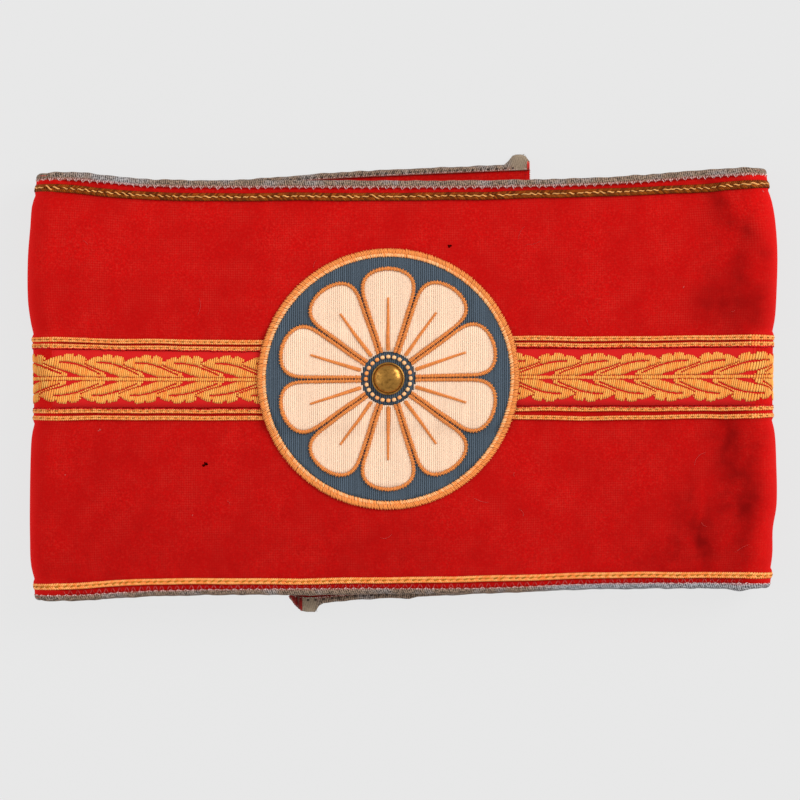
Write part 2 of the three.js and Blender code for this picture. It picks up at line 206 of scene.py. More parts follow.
# The wool stands up where it turns into the right fold: where the rise starts and its height.
SWELL = table(
    "across start end height",
    (BOTTOM_EDGE, 84, 91, 0.5),
    (-45, 83, 91, 0.7),
    (-36, 83, 91.5, 1.1),
    (-30, 81, 91, 1.3),
    (-24, 79, 90, 1.3),
    (-15, 80, 88, 1.1),
    (0, 79, 90, 1.0),
    (15, 75, 90, 1.3),
    (24, 77, 89, 1.2),
    (33, 80, 91, 1.0),
    (42, 78, 86, 0.8),
    (TOP_EDGE, 77, 83, 0.6),
)

# Faint waves that the cloth has taken from storage: wavelengths, phase and height.
WAVES = table(
    "along across turn height",
    (71, 190, 0.6, 0.12),
    (-43, 66, 2.1, 0.07),
    (23, -38, 4.0, 0.03),
)

# Sewing lines that draw the wool in: where they run, and the puckers' spacing and height.
PUCKERS = table(
    "across spacing height",
    (TOP_EDGE - TOP_CORD_INSET, 6.9, 0.06),
    (BOTTOM_EDGE + BOTTOM_CORD_INSET, 7.7, 0.06),
    (BRAID_EDGE, 9.1, 0.07),
    (-BRAID_EDGE, 8.3, 0.07),
)
PUCKER_REACH = 3.5
WAVES_START = 16  # how soon the waves and puckers reach their full height beside a fold


def smooth_rise(start, end, value):
    """A smooth rise from 0 at start to 1 at end."""
    share = np.clip((value - start) / (end - start), 0, 1)
    return share * share * (3 - 2 * share)


def plateau(rise, fall, value):
    """A smooth rise over one pair of places and a smooth fall over the other."""
    return smooth_rise(*rise, value) * (1 - smooth_rise(*fall, value))


def bell(value):
    """A soft bump of height 1 round 0."""
    return np.exp(-value * value)


def through(rows, key, column, at):
    """A smooth line through one column of a table, by the row's key."""
    keys = np.array([getattr(row, key) for row in rows], float)
    values = np.array([getattr(row, column) for row in rows], float)
    slopes = np.empty_like(values)
    slopes[1:-1] = (values[2:] - values[:-2]) / (keys[2:] - keys[:-2])
    slopes[0] = (values[1] - values[0]) / (keys[1] - keys[0])
    slopes[-1] = (values[-1] - values[-2]) / (keys[-1] - keys[-2])
    held = np.clip(at, keys[0], keys[-1])
    i = np.clip(np.searchsorted(keys, held, side="right") - 1, 0, len(keys) - 2)
    width = keys[i + 1] - keys[i]
    s = (held - keys[i]) / width
    start = values[i] * (1 + 2 * s) * (1 - s) ** 2 + slopes[i] * width * s * (1 - s) ** 2
    end = values[i + 1] * s * s * (3 - 2 * s) - slopes[i + 1] * width * s * s * (1 - s)
    return start + end


def loop_line(along):
    """The loop's line seen along the arm, with its direction outwards."""
    left_turn = (along - LEFT_FOLD) / FOLD_RADIUS
    right_turn = (along - RIGHT_FOLD) / FOLD_RADIUS
    front_x = along - FRONT - FOLD_X
    flap_x = FOLD_X - (along - RIGHT_FLAP)
    sunk = SAG * np.cos(math.pi * front_x / (2 * FOLD_X)) ** 2
    climbed = FLAP_STEP * (1 - smooth_rise(RAMP_END, RAMP_START, flap_x))
    stretch = [along < LEFT_FOLD, along < FRONT, along < RIGHT_FOLD, along < RIGHT_FLAP]
    zero = np.zeros_like(along)
    out_x = np.select(stretch, [zero, -np.sin(left_turn), zero, np.sin(right_turn)], zero)
    out_z = np.select(stretch, [zero - 1, -np.cos(left_turn), zero + 1, np.cos(right_turn)], zero - 1)
    turned = FOLD_RADIUS * out_x
    x = np.select(stretch, [LEFT_FLAP_END - along, turned - FOLD_X, front_x, turned + FOLD_X], flap_x)
    turning = LOW_Z + FOLD_RADIUS * (1 + out_z)
    z = np.select(stretch, [zero + LOW_Z, turning, turning - sunk, turning], LOW_Z + climbed)
    return x, z, out_x, out_z


def swelling(along, across):
    """How high the wool stands up before the right fold. It is gone halfway round the turn."""
    start, end, height = (through(SWELL, "across", key, across) for key in ("start", "end", "height"))
    over = smooth_rise(RIGHT_FOLD + 0.45 * FOLD_LENGTH, RIGHT_FOLD + 1, along)
    return height * smooth_rise(start, end, along - on_front(0)) * over


def dented(along, across):
    """How deep the dents are, less the height of the swell, waves and puckers."""
    depth = np.zeros_like(along)
    for dent in DENTS:
        lean = math.radians(dent.lean)
        dx = along - on_front(dent.x)
        dy = across - dent.across
        down = (dy * math.cos(lean) - dx * math.sin(lean)) / dent.long
        aside = (dx * math.cos(lean) + dy * math.sin(lean)) / dent.wide
        depth += dent.depth * np.exp(-down * down - aside * aside)
    lift = np.zeros_like(along)
    for wave in WAVES:
        lift += wave.height * np.sin(2 * math.pi * (along / wave.along + across / wave.across) + wave.turn)
    for row in PUCKERS:
        uneven = np.sin(2 * math.pi * along / row.spacing) + np.sin(3.7 * along / row.spacing)
        lift += row.height * bell((across - row.across) / PUCKER_REACH) * uneven
    on_top = plateau((FRONT, FRONT + WAVES_START), (RIGHT_FOLD - WAVES_START, RIGHT_FOLD), along)
    return depth - lift * on_top - swelling(along, across)


def height_of(along, across):
    """The height of a point of the strip on the table, between its edges and inner cords."""
    rows = [through(LINES, "along", line, along) for line in ("bottom", "lower", "upper", "top")]
    parts = []
    for i in range(3):
        share = (across - MARKS[i]) / (MARKS[i + 1] - MARKS[i])
        parts.append(rows[i] + share * (rows[i + 1] - rows[i]))
    return np.select([across <= MARKS[1], across <= MARKS[2]], parts[:2], parts[2])


def middle(along, across):
    """The middle of the wool at a point of the strip, before it is set on the frame."""
    x, z, out_x, out_z = loop_line(along)
    left, right = (through(FOLD_LINE, "across", side, across) for side in ("left", "right"))
    near_fold = smooth_rise(DRAWN_ZONE, FOLD_X + FOLD_RADIUS, np.abs(x))
    drawn_in = -np.sign(x) * near_fold * np.where(x < 0, left, right)
    depth = dented(along, across)
    return np.stack([x + drawn_in - depth * out_x, height_of(along, across), z - depth * out_z], -1)


def unit(vectors):
    return vectors / np.linalg.norm(vectors, axis=-1, keepdims=True)


def place_mm(coords):
    """Points at strip coordinates, before they are set on the frame, and the directions outwards."""
    along, across, out = (np.asarray(coords[..., i], float) for i in range(3))
    step = 0.05
    alongside = middle(along + step, across) - middle(along - step, across)
    upwards = middle(along, across + step) - middle(along, across - step)
    outwards = unit(np.cross(alongside, upwards))
    return middle(along, across) + out[..., None] * outwards, outwards


def frame_shift():
    """What moves the strip onto the packed frame: its stud stands on the patch's middle."""
    low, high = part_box("centre_stud")
    centre = (low + high) / 2 / MM
    here, _ = place_mm(np.array([PATCH_AT, 0.0, 0.0]))
    return np.array([centre[0] - here[0], centre[1] - here[1], 0.0])


SHIFT = frame_shift()


def place(coords):
    """Points of the strip in the frame's metres, and the directions outwards."""
    points, outwards = place_mm(coords)
    return (points + SHIFT) * MM, outwards


def coords_at(along, across, out):
    """Strip coordinates in one array, from numbers and arrays that fit each other."""
    return np.stack(np.broadcast_arrays(along, across, out), -1)


# Meshes


def add_object(name, data):
    new = bpy.data.objects.new(name, data)
    bpy.context.scene.collection.objects.link(new)
    return new


def new_piece(name, points, faces, finish, stands_for=None, **attributes):
    """A mesh that rides on the armband. Its finish is a material and the slot it belongs to; the slot is
    not used.
    """
    mesh = bpy.data.meshes.new(name)
    mesh.from_pydata(points, [], [face for part in faces for face in part.tolist()], shade_flat=False)
    for key, values in attributes.items():
        kind, field = ("FLOAT_VECTOR", "vector") if np.ndim(values) == 2 else ("FLOAT", "value")
        layer = mesh.attributes.new(key, kind, "POINT")
        layer.data.foreach_set(field, values.astype(np.float32).ravel())
    mesh.update(calc_edges=True)
    mesh.validate()
    mesh.materials.append(finish[0])
    piece = add_object(name, mesh)
    if stands_for:
        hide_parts(stands_for)
    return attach(piece, BODY)


def tube_faces(count, stations, sides):
    """The walls and ends of closed tubes whose points run thread, station, side."""
    ring = np.arange(sides)
    base = (np.arange(count)[:, None] * stations + np.arange(stations - 1))[..., None] * sides
    near = base + ring
    far = base + np.roll(ring, -1)
    walls = np.stack([near, far, far + sides, near + sides], -1).reshape(-1, 4)
    first = np.arange(count)[:, None] * stations * sides
    return [walls, np.concatenate([first + ring[::-1], first + (stations - 1) * sides + ring])]


def fan_faces(ring, tip):
    """Triangles between a ring of points and a tip."""
    return np.stack([ring, np.roll(ring, -1), np.full_like(ring, tip)], -1)


BESIDE = np.array([0.1, 0, 0])  # a small step along the strip
TABLE_GAP = 0.02 * MM  # the table presses flat what would stand out below the strip


def fold_stretch(coords):
    """How much a fold's outer face stretches the strip at some points. It is 1 where it lies flat."""
    step = place(coords + BESIDE)[0] - place(coords)[0]
    return np.maximum(np.linalg.norm(step, axis=-1) / (BESIDE[0] * MM), 1)


def threads(name, yarn, parts, half_width, half_height, sides=3, taper=0.5, tone=None, stands_for=None):
    """Closed threads along paths of the strip, parts being arrays of thread, station, coordinates.

    Threads of three sides lie flat with a ridge on top. Those of four may wrap an edge."""
    coords = np.concatenate(parts)
    count, stations = coords.shape[:2]
    points, outwards = place(coords)
    forwards = unit(np.gradient(points, axis=1))
    if sides == 4:
        sideways = unit(place(coords + BESIDE)[0] - points)
    else:
        facing = np.where(coords[..., 2].mean(1) < 0, -1.0, 1.0)
        sideways = unit(np.cross(outwards * facing[:, None, None], forwards))
    upwards = np.cross(forwards, sideways)
    full = np.minimum(1, taper + 1.4 * np.sin(math.pi * np.linspace(0, 1, stations)))
    turn = math.pi / 2 + 2 * math.pi * np.arange(sides) / sides
    half_width = half_width * fold_stretch(coords[:, stations // 2])[:, None]
    wide = (half_width * full * MM / np.abs(np.cos(turn)).max())[..., None, None]
    high = (full * half_height * MM)[:, None, None]
    rings = points[:, :, None] + sideways[:, :, None] * np.cos(turn)[:, None] * wide
    rings = rings + upwards[:, :, None] * np.sin(turn)[:, None] * high
    rings[..., 2] = np.maximum(rings[..., 2], TABLE_GAP)
    tones = np.random.default_rng(len(name)).random(count) if tone is None else tone
    # flank marks each thread's low sides, which the yarn's material darkens with painted shade.
    flank = 1 - np.clip(np.sin(turn), 0, 1) if sides == 3 else np.zeros(sides)
    return new_piece(
        name, rings.reshape(-1, 3), tube_faces(count, stations, sides), yarn_finish(yarn), stands_for,
        tone=np.repeat(tones, stations * sides),
        flank=np.tile(flank, count * stations),
        strip=np.repeat(coords.reshape(-1, 3), sides, axis=0) * MM,
    )


def strip_section(name, finish, stands_for, alongs, across, out, **extra):
    """A closed section, corners counter-clockwise in (across, out), carried along the strip."""
    coords = coords_at(alongs[:, None], across, out)
    faces = tube_faces(1, *coords.shape[:2])
    coords = coords.reshape(-1, 3)
    return new_piece(name, place(coords)[0], faces, finish, stands_for, strip=coords * MM, **extra)


def sheet_grid(name, finish, stands_for, alongs, acrosses, low, high, **extra):
    """A closed sheet over a grid of the strip, between two distances out."""
    index = np.arange(len(alongs) * len(acrosses)).reshape(len(alongs), -1)
    layers = [coords_at(alongs[:, None], acrosses, out).reshape(-1, 3) for out in (high, low)]
    coords = np.concatenate(layers)
    top = np.stack([index[:-1, :-1], index[1:, :-1], index[1:, 1:], index[:-1, 1:]], -1).reshape(-1, 4)
    border = np.concatenate([index[:, 0], index[-1, 1:], index[-2::-1, -1], index[0, -2:0:-1]])
    after = np.roll(border, -1)
    walls = np.stack([border, border + index.size, after + index.size, after], -1)
    faces = [top, top[:, ::-1] + index.size, walls]
    extra = {key: np.tile(values.ravel(), 2) for key, values in extra.items()}
    return new_piece(name, place(coords)[0], faces, finish, stands_for, strip=coords * MM, **extra)


def stations_at(start, end, spacing):
    """Evenly spaced stations with about this spacing, both ends included."""
    return np.linspace(start, end, max(2, round((end - start) / spacing) + 1))


def whole_strip(spacing, start=0.0, end=STRIP_END):
    """Stations along the strip, closer together round the two folds."""
    marks = [start, LEFT_FOLD - 4, FRONT + 4, RIGHT_FOLD - 4, RIGHT_FLAP + 4, end]
    parts = []
    for i, (low, high) in enumerate(zip(marks, marks[1:])):
        parts.append(stations_at(low, high, spacing * (0.55 if i % 2 else 1.0))[:-1])
    return np.concatenate(parts + [[end]])


def seen_beside_patch(alongs, margin):
    """Those stations that the patch doesn't cover."""
    return alongs[np.abs(alongs - PATCH_AT) > PATCH_RADIUS - margin]


# Materials


def linear(hex_colour):
    """An sRGB hex colour as linear red, green and blue."""
    values = [int(hex_colour[i : i + 2], 16) / 255 for i in (0, 2, 4)]
    return tuple(v / 12.92 if v <= 0.04045 else ((v + 0.055) / 1.055) ** 2.4 for v in values)


def shade(colour, factor=1.0):
    """A colour made darker or lighter, with alpha."""
    return (*[min(1.0, c * factor) for c in colour[:3]], 1.0)


def grain(size_mm):
    """The scale of a noise whose grains have this size."""
    return 1 / (size_mm * MM)


def bands(spacing_mm):
    """The scale of a wave texture whose bands have this spacing."""
    return 2 * math.pi / (20 * spacing_mm * MM)


def fill(node, inputs):
    """Sets a node's sockets to values, or links other nodes' outputs to them."""
    for socket, value in inputs.items():
        if isinstance(value, bpy.types.NodeSocket):
            node.id_data.links.new(value, node.inputs[socket])
        else:
            node.inputs[socket].default_value = value


def add_node(tree, kind, inputs, output=0, **settings):
    """Adds a shader node with its settings, values and links, and gives one of its outputs."""
    node = tree.nodes.new("ShaderNode" + kind)
    for name, value in settings.items():
        setattr(node, name, value)
    fill(node, inputs)
    return node.outputs[output]


def new_material(name):
    """A material, its shader, and what adds a node to it."""
    material = bpy.data.materials.new(name)
    material.use_nodes = True
    tree = material.node_tree
    return material, tree.nodes["Principled BSDF"], partial(add_node, tree)


def fulled_wool(colours):
    # Fulled woollen cloth: the nap hides the weave, so the red is matte and nearly even, with fine
    # grain, paler fibres, faint streaks and soft mottles. Where the nap is thin the mesh of threads
    # shows, 0.6 mm apart. The red deepens towards the bottom, painted shade darkens the creases and a
    # painted highlight brightens the folds. The grain is finer in real cloth, and is drawn 0.4 mm
    # coarse to show at all.
    material, shader, add = new_material("fulled wool")
    wool, worn = colours.wool, colours.wool_worn
    at = add("Attribute", {}, "Vector", attribute_name="strip")
    # The first attribute holds the graded tone with painted crease shade, the second a painted highlight
    # on the folds.
    deep, rubbed = (add("Attribute", {}, "Fac", attribute_name=key) for key in ("deep", "rubbed"))
    drawn = add("VectorMath", {0: at, 1: (1.0, 0.2, 1.0)}, operation="MULTIPLY")
    nap = add("TexNoise", {"Vector": at, "Scale": grain(0.42), "Detail": 3.0, "Roughness": 0.7})
    streak = add("TexNoise", {"Vector": drawn, "Scale": grain(0.8), "Detail": 2.0})
    fibres, clumps, bare, cloud = (
        add("TexNoise", {"Vector": at, "Scale": grain(size), "Detail": detail})
        for size, detail in ((0.6, 2.0), (2.6, 3.0), (6, 4.0), (13, 5.0))
    )
    wavy = {"Vector": at, "Scale": bands(0.6), "Distortion": 0.8, "Detail Scale": 3.0}
    warp, weft = (add("TexWave", wavy, "Fac", bands_direction=way) for way in "XY")
    mesh = add("Math", {0: warp, 1: weft})
    uneven = add("Math", {0: streak, 1: 0.22, 2: nap}, operation="MULTIPLY_ADD")
    spread, pale, broad, thin = (
        add("MapRange", {"Value": value, "From Min": low, "From Max": high, "To Max": most})
        for value, low, high, most in (
            (uneven, 0.4, 0.82, 1.0),
            (fibres, 0.5, 0.72, 0.32),
            (cloud, 0.36, 0.66, 0.62),
            (bare, 0.42, 0.7, 0.38),
        )
    )
    showing = add("MapRange", {"Value": mesh, "From Min": 0.7, "From Max": 1.8, "To Max": thin})
    patchy = {"Value": clumps, "From Min": 0.3, "From Max": 0.7, "To Min": 0.75, "To Max": 1.2}
    depth = add("Math", {0: add("MapRange", patchy), 1: deep}, operation="MULTIPLY", use_clamp=True)
    red = shade(wool, 0.78)
    # The last two layers are painted: crease shade with the graded tone, and a highlight on the folds.
    for share, over, factor in (
        (spread, wool, 1.22),
        (pale, worn, 0.85),
        (broad, wool, 0.84),
        (showing, worn, 0.8),
        (depth, wool, 0.42),
        (rubbed, wool, 1.5),
    ):
        red = add("Mix", {0: share, 6: red, 7: shade(over, factor)}, 2, data_type="RGBA")
    looks = {
        "Base Color": red,
        "Normal": add("Bump", {"Strength": 0.4, "Distance": 0.1 * MM, "Height": uneven}),
        "Roughness": 0.95,
        "Specular IOR Level": 0.05,
        "Sheen Weight": 0.03,
        "Sheen Roughness": 0.6,
        "Sheen Tint": (1.0, 0.45, 0.4, 1.0),
    }
    fill(shader, looks)
    return material


# Every yarn. Its dark and its light fibres, and the painted shade in the groove between two threads,
# each have a colour and how much lighter it is made. Without one the groove's painted shade is a
# darker dark. strand is how thick its fibres are, in millimetres.
YARNS = table(
    "name slot dark light groove roughness sheen shine strand",
    ("end thread", "red_wool", ("wool", 0.3), ("wool_worn", 1), None, 0.8, 0.05, 0.25, 0.18),
    ("bronze rayon", "bronze_cord", ("bronze", 1), ("bronze_light", 1), None, 0.7, 0.0, 0.1, 0.18),
    ("gold rayon", "gold_cord", ("gold", 1), ("gold_light", 1), ("gold_deep", 1), 0.65, 0.02, 0.15, 0.18),
    ("braid cotton", "red_braid", ("braid", 0.92), ("braid", 1.15), None, 0.9, 0.0, 0.25, 0.4),
    (
        "floating rayon", "gold_thread", ("leaf", 1), ("leaf_light", 1), ("gold_deep", 1),
        0.6, 0.05, 0.25, 0.18,
    ),
    ("ribbed silk", "slate_patch", ("slate", 0.75), ("slate", 1), None, 0.6, 0.05, 0.25, 0.18),
    ("cream silk", "gold_thread", ("cream", 0.9), ("cream", 1), ("cream", 0.8), 0.6, 0.02, 0.25, 0.18),
    ("gold silk", "gold_thread", ("rim", 0.85), ("rim", 1), ("rim", 0.6), 0.6, 0.02, 0.25, 0.18),
    ("pale gold silk", "gold_thread", ("rim", 1), ("rim_light", 1), ("rim", 1), 0.6, 0.02, 0.25, 0.18),
    ("pale cotton", "grey_tape", ("stitch", 0.8), ("stitch", 1), None, 0.8, 0.02, 0.25, 0.18),
    ("dark cotton", "grey_tape", ("dark", 1), ("dark", 1.6), None, 0.8, 0.05, 0.25, 0.18),
    ("couching rayon", "gold_cord", ("gold_light", 0.65), ("gold_light", 1), None, 0.6, 0.0, 0.1, 0.18),
    ("olive thread", "gold_cord", ("gold_deep", 0.55), ("gold_deep", 0.95), None, 0.8, 0.0, 0.1, 0.18),
    ("plait groove", "gold_cord", ("gold_deep", 0.85), ("gold_deep", 1.3), None, 0.8, 0.0, 0.1, 0.18),
    ("red cotton", "red_wool", ("wool", 0.7), ("wool", 1), None, 0.8, 0.05, 0.25, 0.18),
    ("faded red cotton", "red_wool", ("wool", 1), ("zigzag", 1), None, 0.8, 0.05, 0.25, 0.18),
    ("selvedge cotton", "red_braid", ("braid", 0.8), ("braid", 1), None, 0.9, 0.0, 0.25, 0.18),
    ("lint", "red_wool", ("wool_worn", 1), ("zigzag", 1), None, 0.9, 0.1, 0.25, 0.18),
    ("frayed cotton", "grey_tape", ("frayed", 1), ("tape", 1), None, 0.9, 0.1, 0.25, 0.18),
    ("dark speck", "red_wool", ("wool", 0.03), ("wool", 0.16), None, 0.9, 0.0, 0.0, 0.18),
    ("pale speck", "red_wool", ("zigzag", 1), ("zigzag", 1.5), None, 0.9, 0.0, 0.25, 0.18),
)


def yarn_finish(name):
    """A yarn's material, spun when it is first used, and its slot."""
    row = next(row for row in YARNS if row.name == name)
    return bpy.data.materials.get(name) or spun_yarn(row, bpy.context.scene.armband_colours), row.slot


def spun_yarn(row, colours):
    # Spun or plaited yarn: each thread has its own tone, fine fibres run round it, and painted shade
    # darkens its sides where it meets the next one.
    material, shader, add = new_material(row.name)
    dark, light = (shade(getattr(colours, key), factor) for key, factor in (row.dark, row.light))
    groove = shade(getattr(colours, row.groove[0]), row.groove[1]) if row.groove else shade(dark, 0.6)
    hairy = 0.35
    at = add("Attribute", {}, "Vector", attribute_name="strip")
    tone, flank = (add("Attribute", {}, "Fac", attribute_name=key) for key in ("tone", "flank"))
    fibre = add("TexNoise", {"Vector": at, "Scale": grain(row.strand), "Detail": 2.0})
    both = add("Math", {0: fibre, 1: hairy, 2: tone}, operation="MULTIPLY_ADD")
    spread = add("MapRange", {"Value": both, "From Min": 0.5 * hairy, "From Max": 1 + 0.5 * hairy})
    # Painted shade on the thread's low sides, where it meets the next one.
    painted_flank_shade = add("MapRange", {"Value": flank, "From Min": 0.5, "To Max": 0.75})
    spun = add("Mix", {0: spread, 6: dark, 7: light}, 2, data_type="RGBA")
    looks = {
        "Base Color": add("Mix", {0: painted_flank_shade, 6: spun, 7: groove}, 2, data_type="RGBA"),
        "Normal": add("Bump", {"Strength": 0.3, "Distance": 0.03 * MM, "Height": fibre}),
        "Roughness": row.roughness,
        "Specular IOR Level": row.shine,
        "Sheen Weight": row.sheen,
        "Sheen Roughness": 0.4,
    }
    fill(shader, looks)
    return material


def knitted_tape(colours):
    # Fine knitted cotton tape: mottled warm grey with cooler stretches and a slanting hatch of loops,
    # darker and ruddier beside the wool, and tan at the worn ends. Real loops lie 0.4 mm apart, and
    # are drawn 0.56 mm apart to show.
    material, shader, add = new_material("knitted tape")
    at = add("Attribute", {}, "Vector", attribute_name="strip")
    worn, inner, cool = (
        add("Attribute", {}, "Fac", attribute_name=key) for key in ("worn", "inner", "cool")
    )
    slanted = add("VectorMath", {0: at, 1: (1.0, 0.35, 0.35)}, operation="MULTIPLY")
    loops = add("TexNoise", {"Vector": at, "Scale": grain(0.44), "Detail": 2.0})
    patches = add("TexNoise", {"Vector": at, "Scale": grain(5), "Detail": 3.0})
    hatched = {"Vector": slanted, "Scale": 2 * bands(0.56), "Distortion": 1.2, "Detail Scale": 2.0}
    hatch = add("TexWave", hatched, "Fac", bands_direction="DIAGONAL")
    height = add("Math", {0: hatch, 1: 0.26, 2: loops}, operation="MULTIPLY_ADD")
    mottle = add("MapRange", {"Value": height, "From Min": 0.47, "From Max": 0.8})
    warm, blue, tan = (
        add("Mix", {0: mottle, 6: shade(colour, low), 7: shade(colour, high)}, 2, data_type="RGBA")
        for colour, low, high in (
            (colours.tape, 0.22, 2.0),
            (colours.tape_cool, 0.22, 2.0),
            (colours.frayed, 0.82, 1.15),
        )
    )
    areas = add("MapRange", {"Value": patches, "From Min": 0.5, "From Max": 0.66, "To Max": 0.4})
    cooler = add("Math", {0: areas, 1: cool}, use_clamp=True)
    ruddy = add("Math", {0: inner, 1: 0.48}, operation="MULTIPLY")
    knit = warm
    for share, over in ((cooler, blue), (ruddy, shade(colours.wool, 0.8)), (worn, tan)):
        knit = add("Mix", {0: share, 6: knit, 7: over}, 2, data_type="RGBA")
    looks = {
        "Base Color": knit,
        "Normal": add("Bump", {"Strength": 0.7, "Distance": 0.12 * MM, "Height": height}),
        "Roughness": 0.92,
        "Specular IOR Level": 0.12,
        "Sheen Weight": 0.05,
    }
    fill(shader, looks)
    return material


def pressed_brass(colours):
    # Pressed brass, handled for years: bright where it is rubbed, brown in the hollows.
    material, shader, add = new_material("pressed brass")
    at = add("TexCoord", {}, "Object")
    spots = add("TexNoise", {"Vector": at, "Scale": grain(0.9), "Detail": 5.0})
    tarnish = add("MapRange", {"Value": spots, "From Min": 0.45, "From Max": 0.7})
    tarnished = {0: tarnish, 6: shade(colours.brass), 7: shade(colours.brass, 0.45)}
    dull = {"Value": spots, "From Min": 0.3, "From Max": 0.7, "To Min": 0.22, "To Max": 0.5}
    looks = {
        "Base Color": add("Mix", tarnished, 2, data_type="RGBA"),
        "Normal": add("Bump", {"Strength": 0.2, "Distance": 0.05 * MM, "Height": spots}),
        "Roughness": add("MapRange", dull),
        "Metallic": 1.0,
    }
    fill(shader, looks)
    return material


# Sizes and colours


def length(name, description, millimetres):
    return FloatProperty(name=name, description=description, default=millimetres * MM, unit="LENGTH")


def colour(name, description, hex_colour):
    return FloatVectorProperty(
        name=name, description=description, default=linear(hex_colour), subtype="COLOR", min=0, max=1
    )


class ArmbandSizes(bpy.types.PropertyGroup):
    """Spacings of the threads and motifs."""

    wool_cell: length("Wool cell", "Spacing of the wool's mesh", 1.5)
    stitch: length("Stitch", "Spacing of the groups of stitches along the bindings", 2.05)
    plait: length("Plait", "Spacing of the strands of the cords", 0.55)
    float_gap: length("Float", "Spacing of the braid's gold threads", 0.53)
    leaf: length("Leaf", "Spacing of the braid's pairs of leaves", 10.5)
    patch_rib: length("Patch rib", "Spacing of the ribs of the patch's silk", 0.5)
    satin: length("Satin", "Spacing of the stitches of the rim and petals", 0.38)
    petals: IntProperty(name="Petals", description="Petals of the rosette", default=10, min=5)
    lint: IntProperty(name="Lint", description="Hairs of lint on the wool", default=22, min=0)


class ArmbandColours(bpy.types.PropertyGroup):
    """Colours of the cloth, threads and metal."""

    wool: colour("Wool", "Red of the fulled wool", "bf0a08")
    wool_worn: colour("Wool, worn", "Red where the nap is rubbed", "e2392d")
    tape: colour("Tape", "Warm grey of the binding", "756152")
    tape_cool: colour("Tape, cool", "Cooler grey of the binding", "858487")
    frayed: colour("Frayed tape", "Tan of the binding's worn ends", "93826e")
    bronze: colour("Bronze", "Dark of the upper cord", "5e2702")
    bronze_light: colour("Bronze, light", "Light of the upper cord", "9c4c0c")
    gold: colour("Gold", "Gold-orange of the cords", "fb8e42")
    gold_light: colour("Gold, light", "Light of the cords", "ffb468")
    # Painted shade: the olive between gold threads, and in the cords' needle holes and plait grooves.
    gold_deep: colour("Gold, deep", "Olive-gold between two gold threads", "b9741f")
    leaf: colour("Leaf", "Gold thread of the braid's leaves", "ff983c")
    leaf_light: colour("Leaf, light", "Light of the braid's leaves", "ffb658")
    braid: colour("Braid", "Red ground of the braid", "d21412")
    slate: colour("Slate", "Ground of the patch", "52616f")
    cream: colour("Cream", "Ribbed silk of the petals", "ffdcbe")
    rim: colour("Rim", "Outer thread of the patch's rim", "fa9a4c")
    rim_light: colour("Rim, light", "Inner thread of the patch's rim", "ffc98e")
    stitch: colour("Stitch", "Pale sewing thread", "ffd8d2")
    zigzag: colour("Zigzag", "Faded red thread above the lower binding", "cf5550")
    dark: colour("Dark thread", "Dark crosses and needle holes", "3a2a22")
    brass: colour("Brass", "Metal of the stud", "b07f3c")
    floor: colour("Floor", "Plain pale floor", "e6e6e6")


# The wool band

# Where trims lie across the strip: the wool between them is pushed out round the folds.
TRIM_ZONES = [(BOTTOM_EDGE, -50.2, -49.4), (-11.4, -10.6, 10.6, 11.4), (45.2, 46, TOP_EDGE)]
PUSHED_OUT = 0.5

# How much deeper the red is, going up the front. It is deepest below the braid.
GRADE_ACROSS = [-50, -43, -30, 0, 20, 45]
GRADE = [0.36, 0.31, 0.22, 0.14, 0.07, 0.0]
GRADE_X = [0, 25, 45, 62, 95]
GRADE_SHARE = [1.0, 0.65, 0.55, 0.85, 1.15]
# How strongly painted shade darkens the slopes that rise to the right, away from the key light.
PAINTED_SLOPE_SHADE = 0.5

# Painted shade of soft creases by the right fold, on slopes that face away from the key light.
# Each is a stroke with both its ends as x and across, its half width and its depth. A negative
# depth is a painted highlight.
CREASE_SHADE_STROKES = table(
    "x across to_x to_across half depth",
    (81.0, 47.6, 82.8, 42.5, 2.1, 0.2),
    (82.8, 42.5, 84.5, 38.2, 2.2, 0.24),
    (84.8, 38.2, 88.4, 36.4, 1.6, 0.17),
    (88.4, 36.4, 92.4, 30.0, 1.8, 0.34),
    (92.4, 30.0, 92.2, 20.3, 1.6, 0.24),
    (85.9, 28.0, 86.4, 23.8, 2.7, 0.32),
    (78.6, 17.4, 90.0, 16.6, 5.6, 0.4),
    (90.4, 20.3, 90.6, 13.9, 2.0, 0.26),
    (86.4, -11.5, 83.4, -17.2, 2.1, 0.28),
    (83.4, -17.2, 84.8, -24.5, 2.5, 0.28),
    (90.4, -19.4, 91.0, -31.0, 2.8, 0.24),
    (88.4, -25.8, 88.6, -34.8, 3.2, 0.3),
    (82.0, -33.5, 88.6, -33.0, 2.4, 0.22),
    (89.9, -37.3, 87.6, -45.3, 2.6, 0.26),
    (73.8, -25.3, 74.3, -31.0, 1.3, 0.22),
    (75.0, -37.4, 78.0, -43.3, 1.9, 0.32),
    (78.2, -43.6, 79.0, -48.4, 2.1, 0.36),
    (61.0, -47.6, 76.3, -46.3, 3.8, 0.14),
    (79.6, 43.0, 79.6, 20.0, 3.6, 0.26),
    (80.2, -12.0, 80.6, -38.0, 3.6, 0.24),
    (70.6, -32.0, 70.9, -46.0, 2.6, 0.3),
    (92.6, -20.0, 92.6, -47.0, 1.8, -0.22),
    (75.8, -29.9, 77.0, -36.0, 1.0, -0.3),
    (91.0, -11.0, 91.0, -20.0, 2.4, 0.2),
)


def pushed_out(along, across):
    """How far the wool stands out between the trims where the strip turns round a fold."""
    turned = smooth_rise(FOLD_X - 2, FOLD_X + 1.5, np.abs(loop_line(along)[0]))
    low, braid, high = TRIM_ZONES
    under = smooth_rise(low[2], low[1], across) + smooth_rise(high[0], high[1], across)
    under += smooth_rise(braid[3], braid[2], np.abs(across))
    return PUSHED_OUT * turned * np.clip(under, 0, 1)


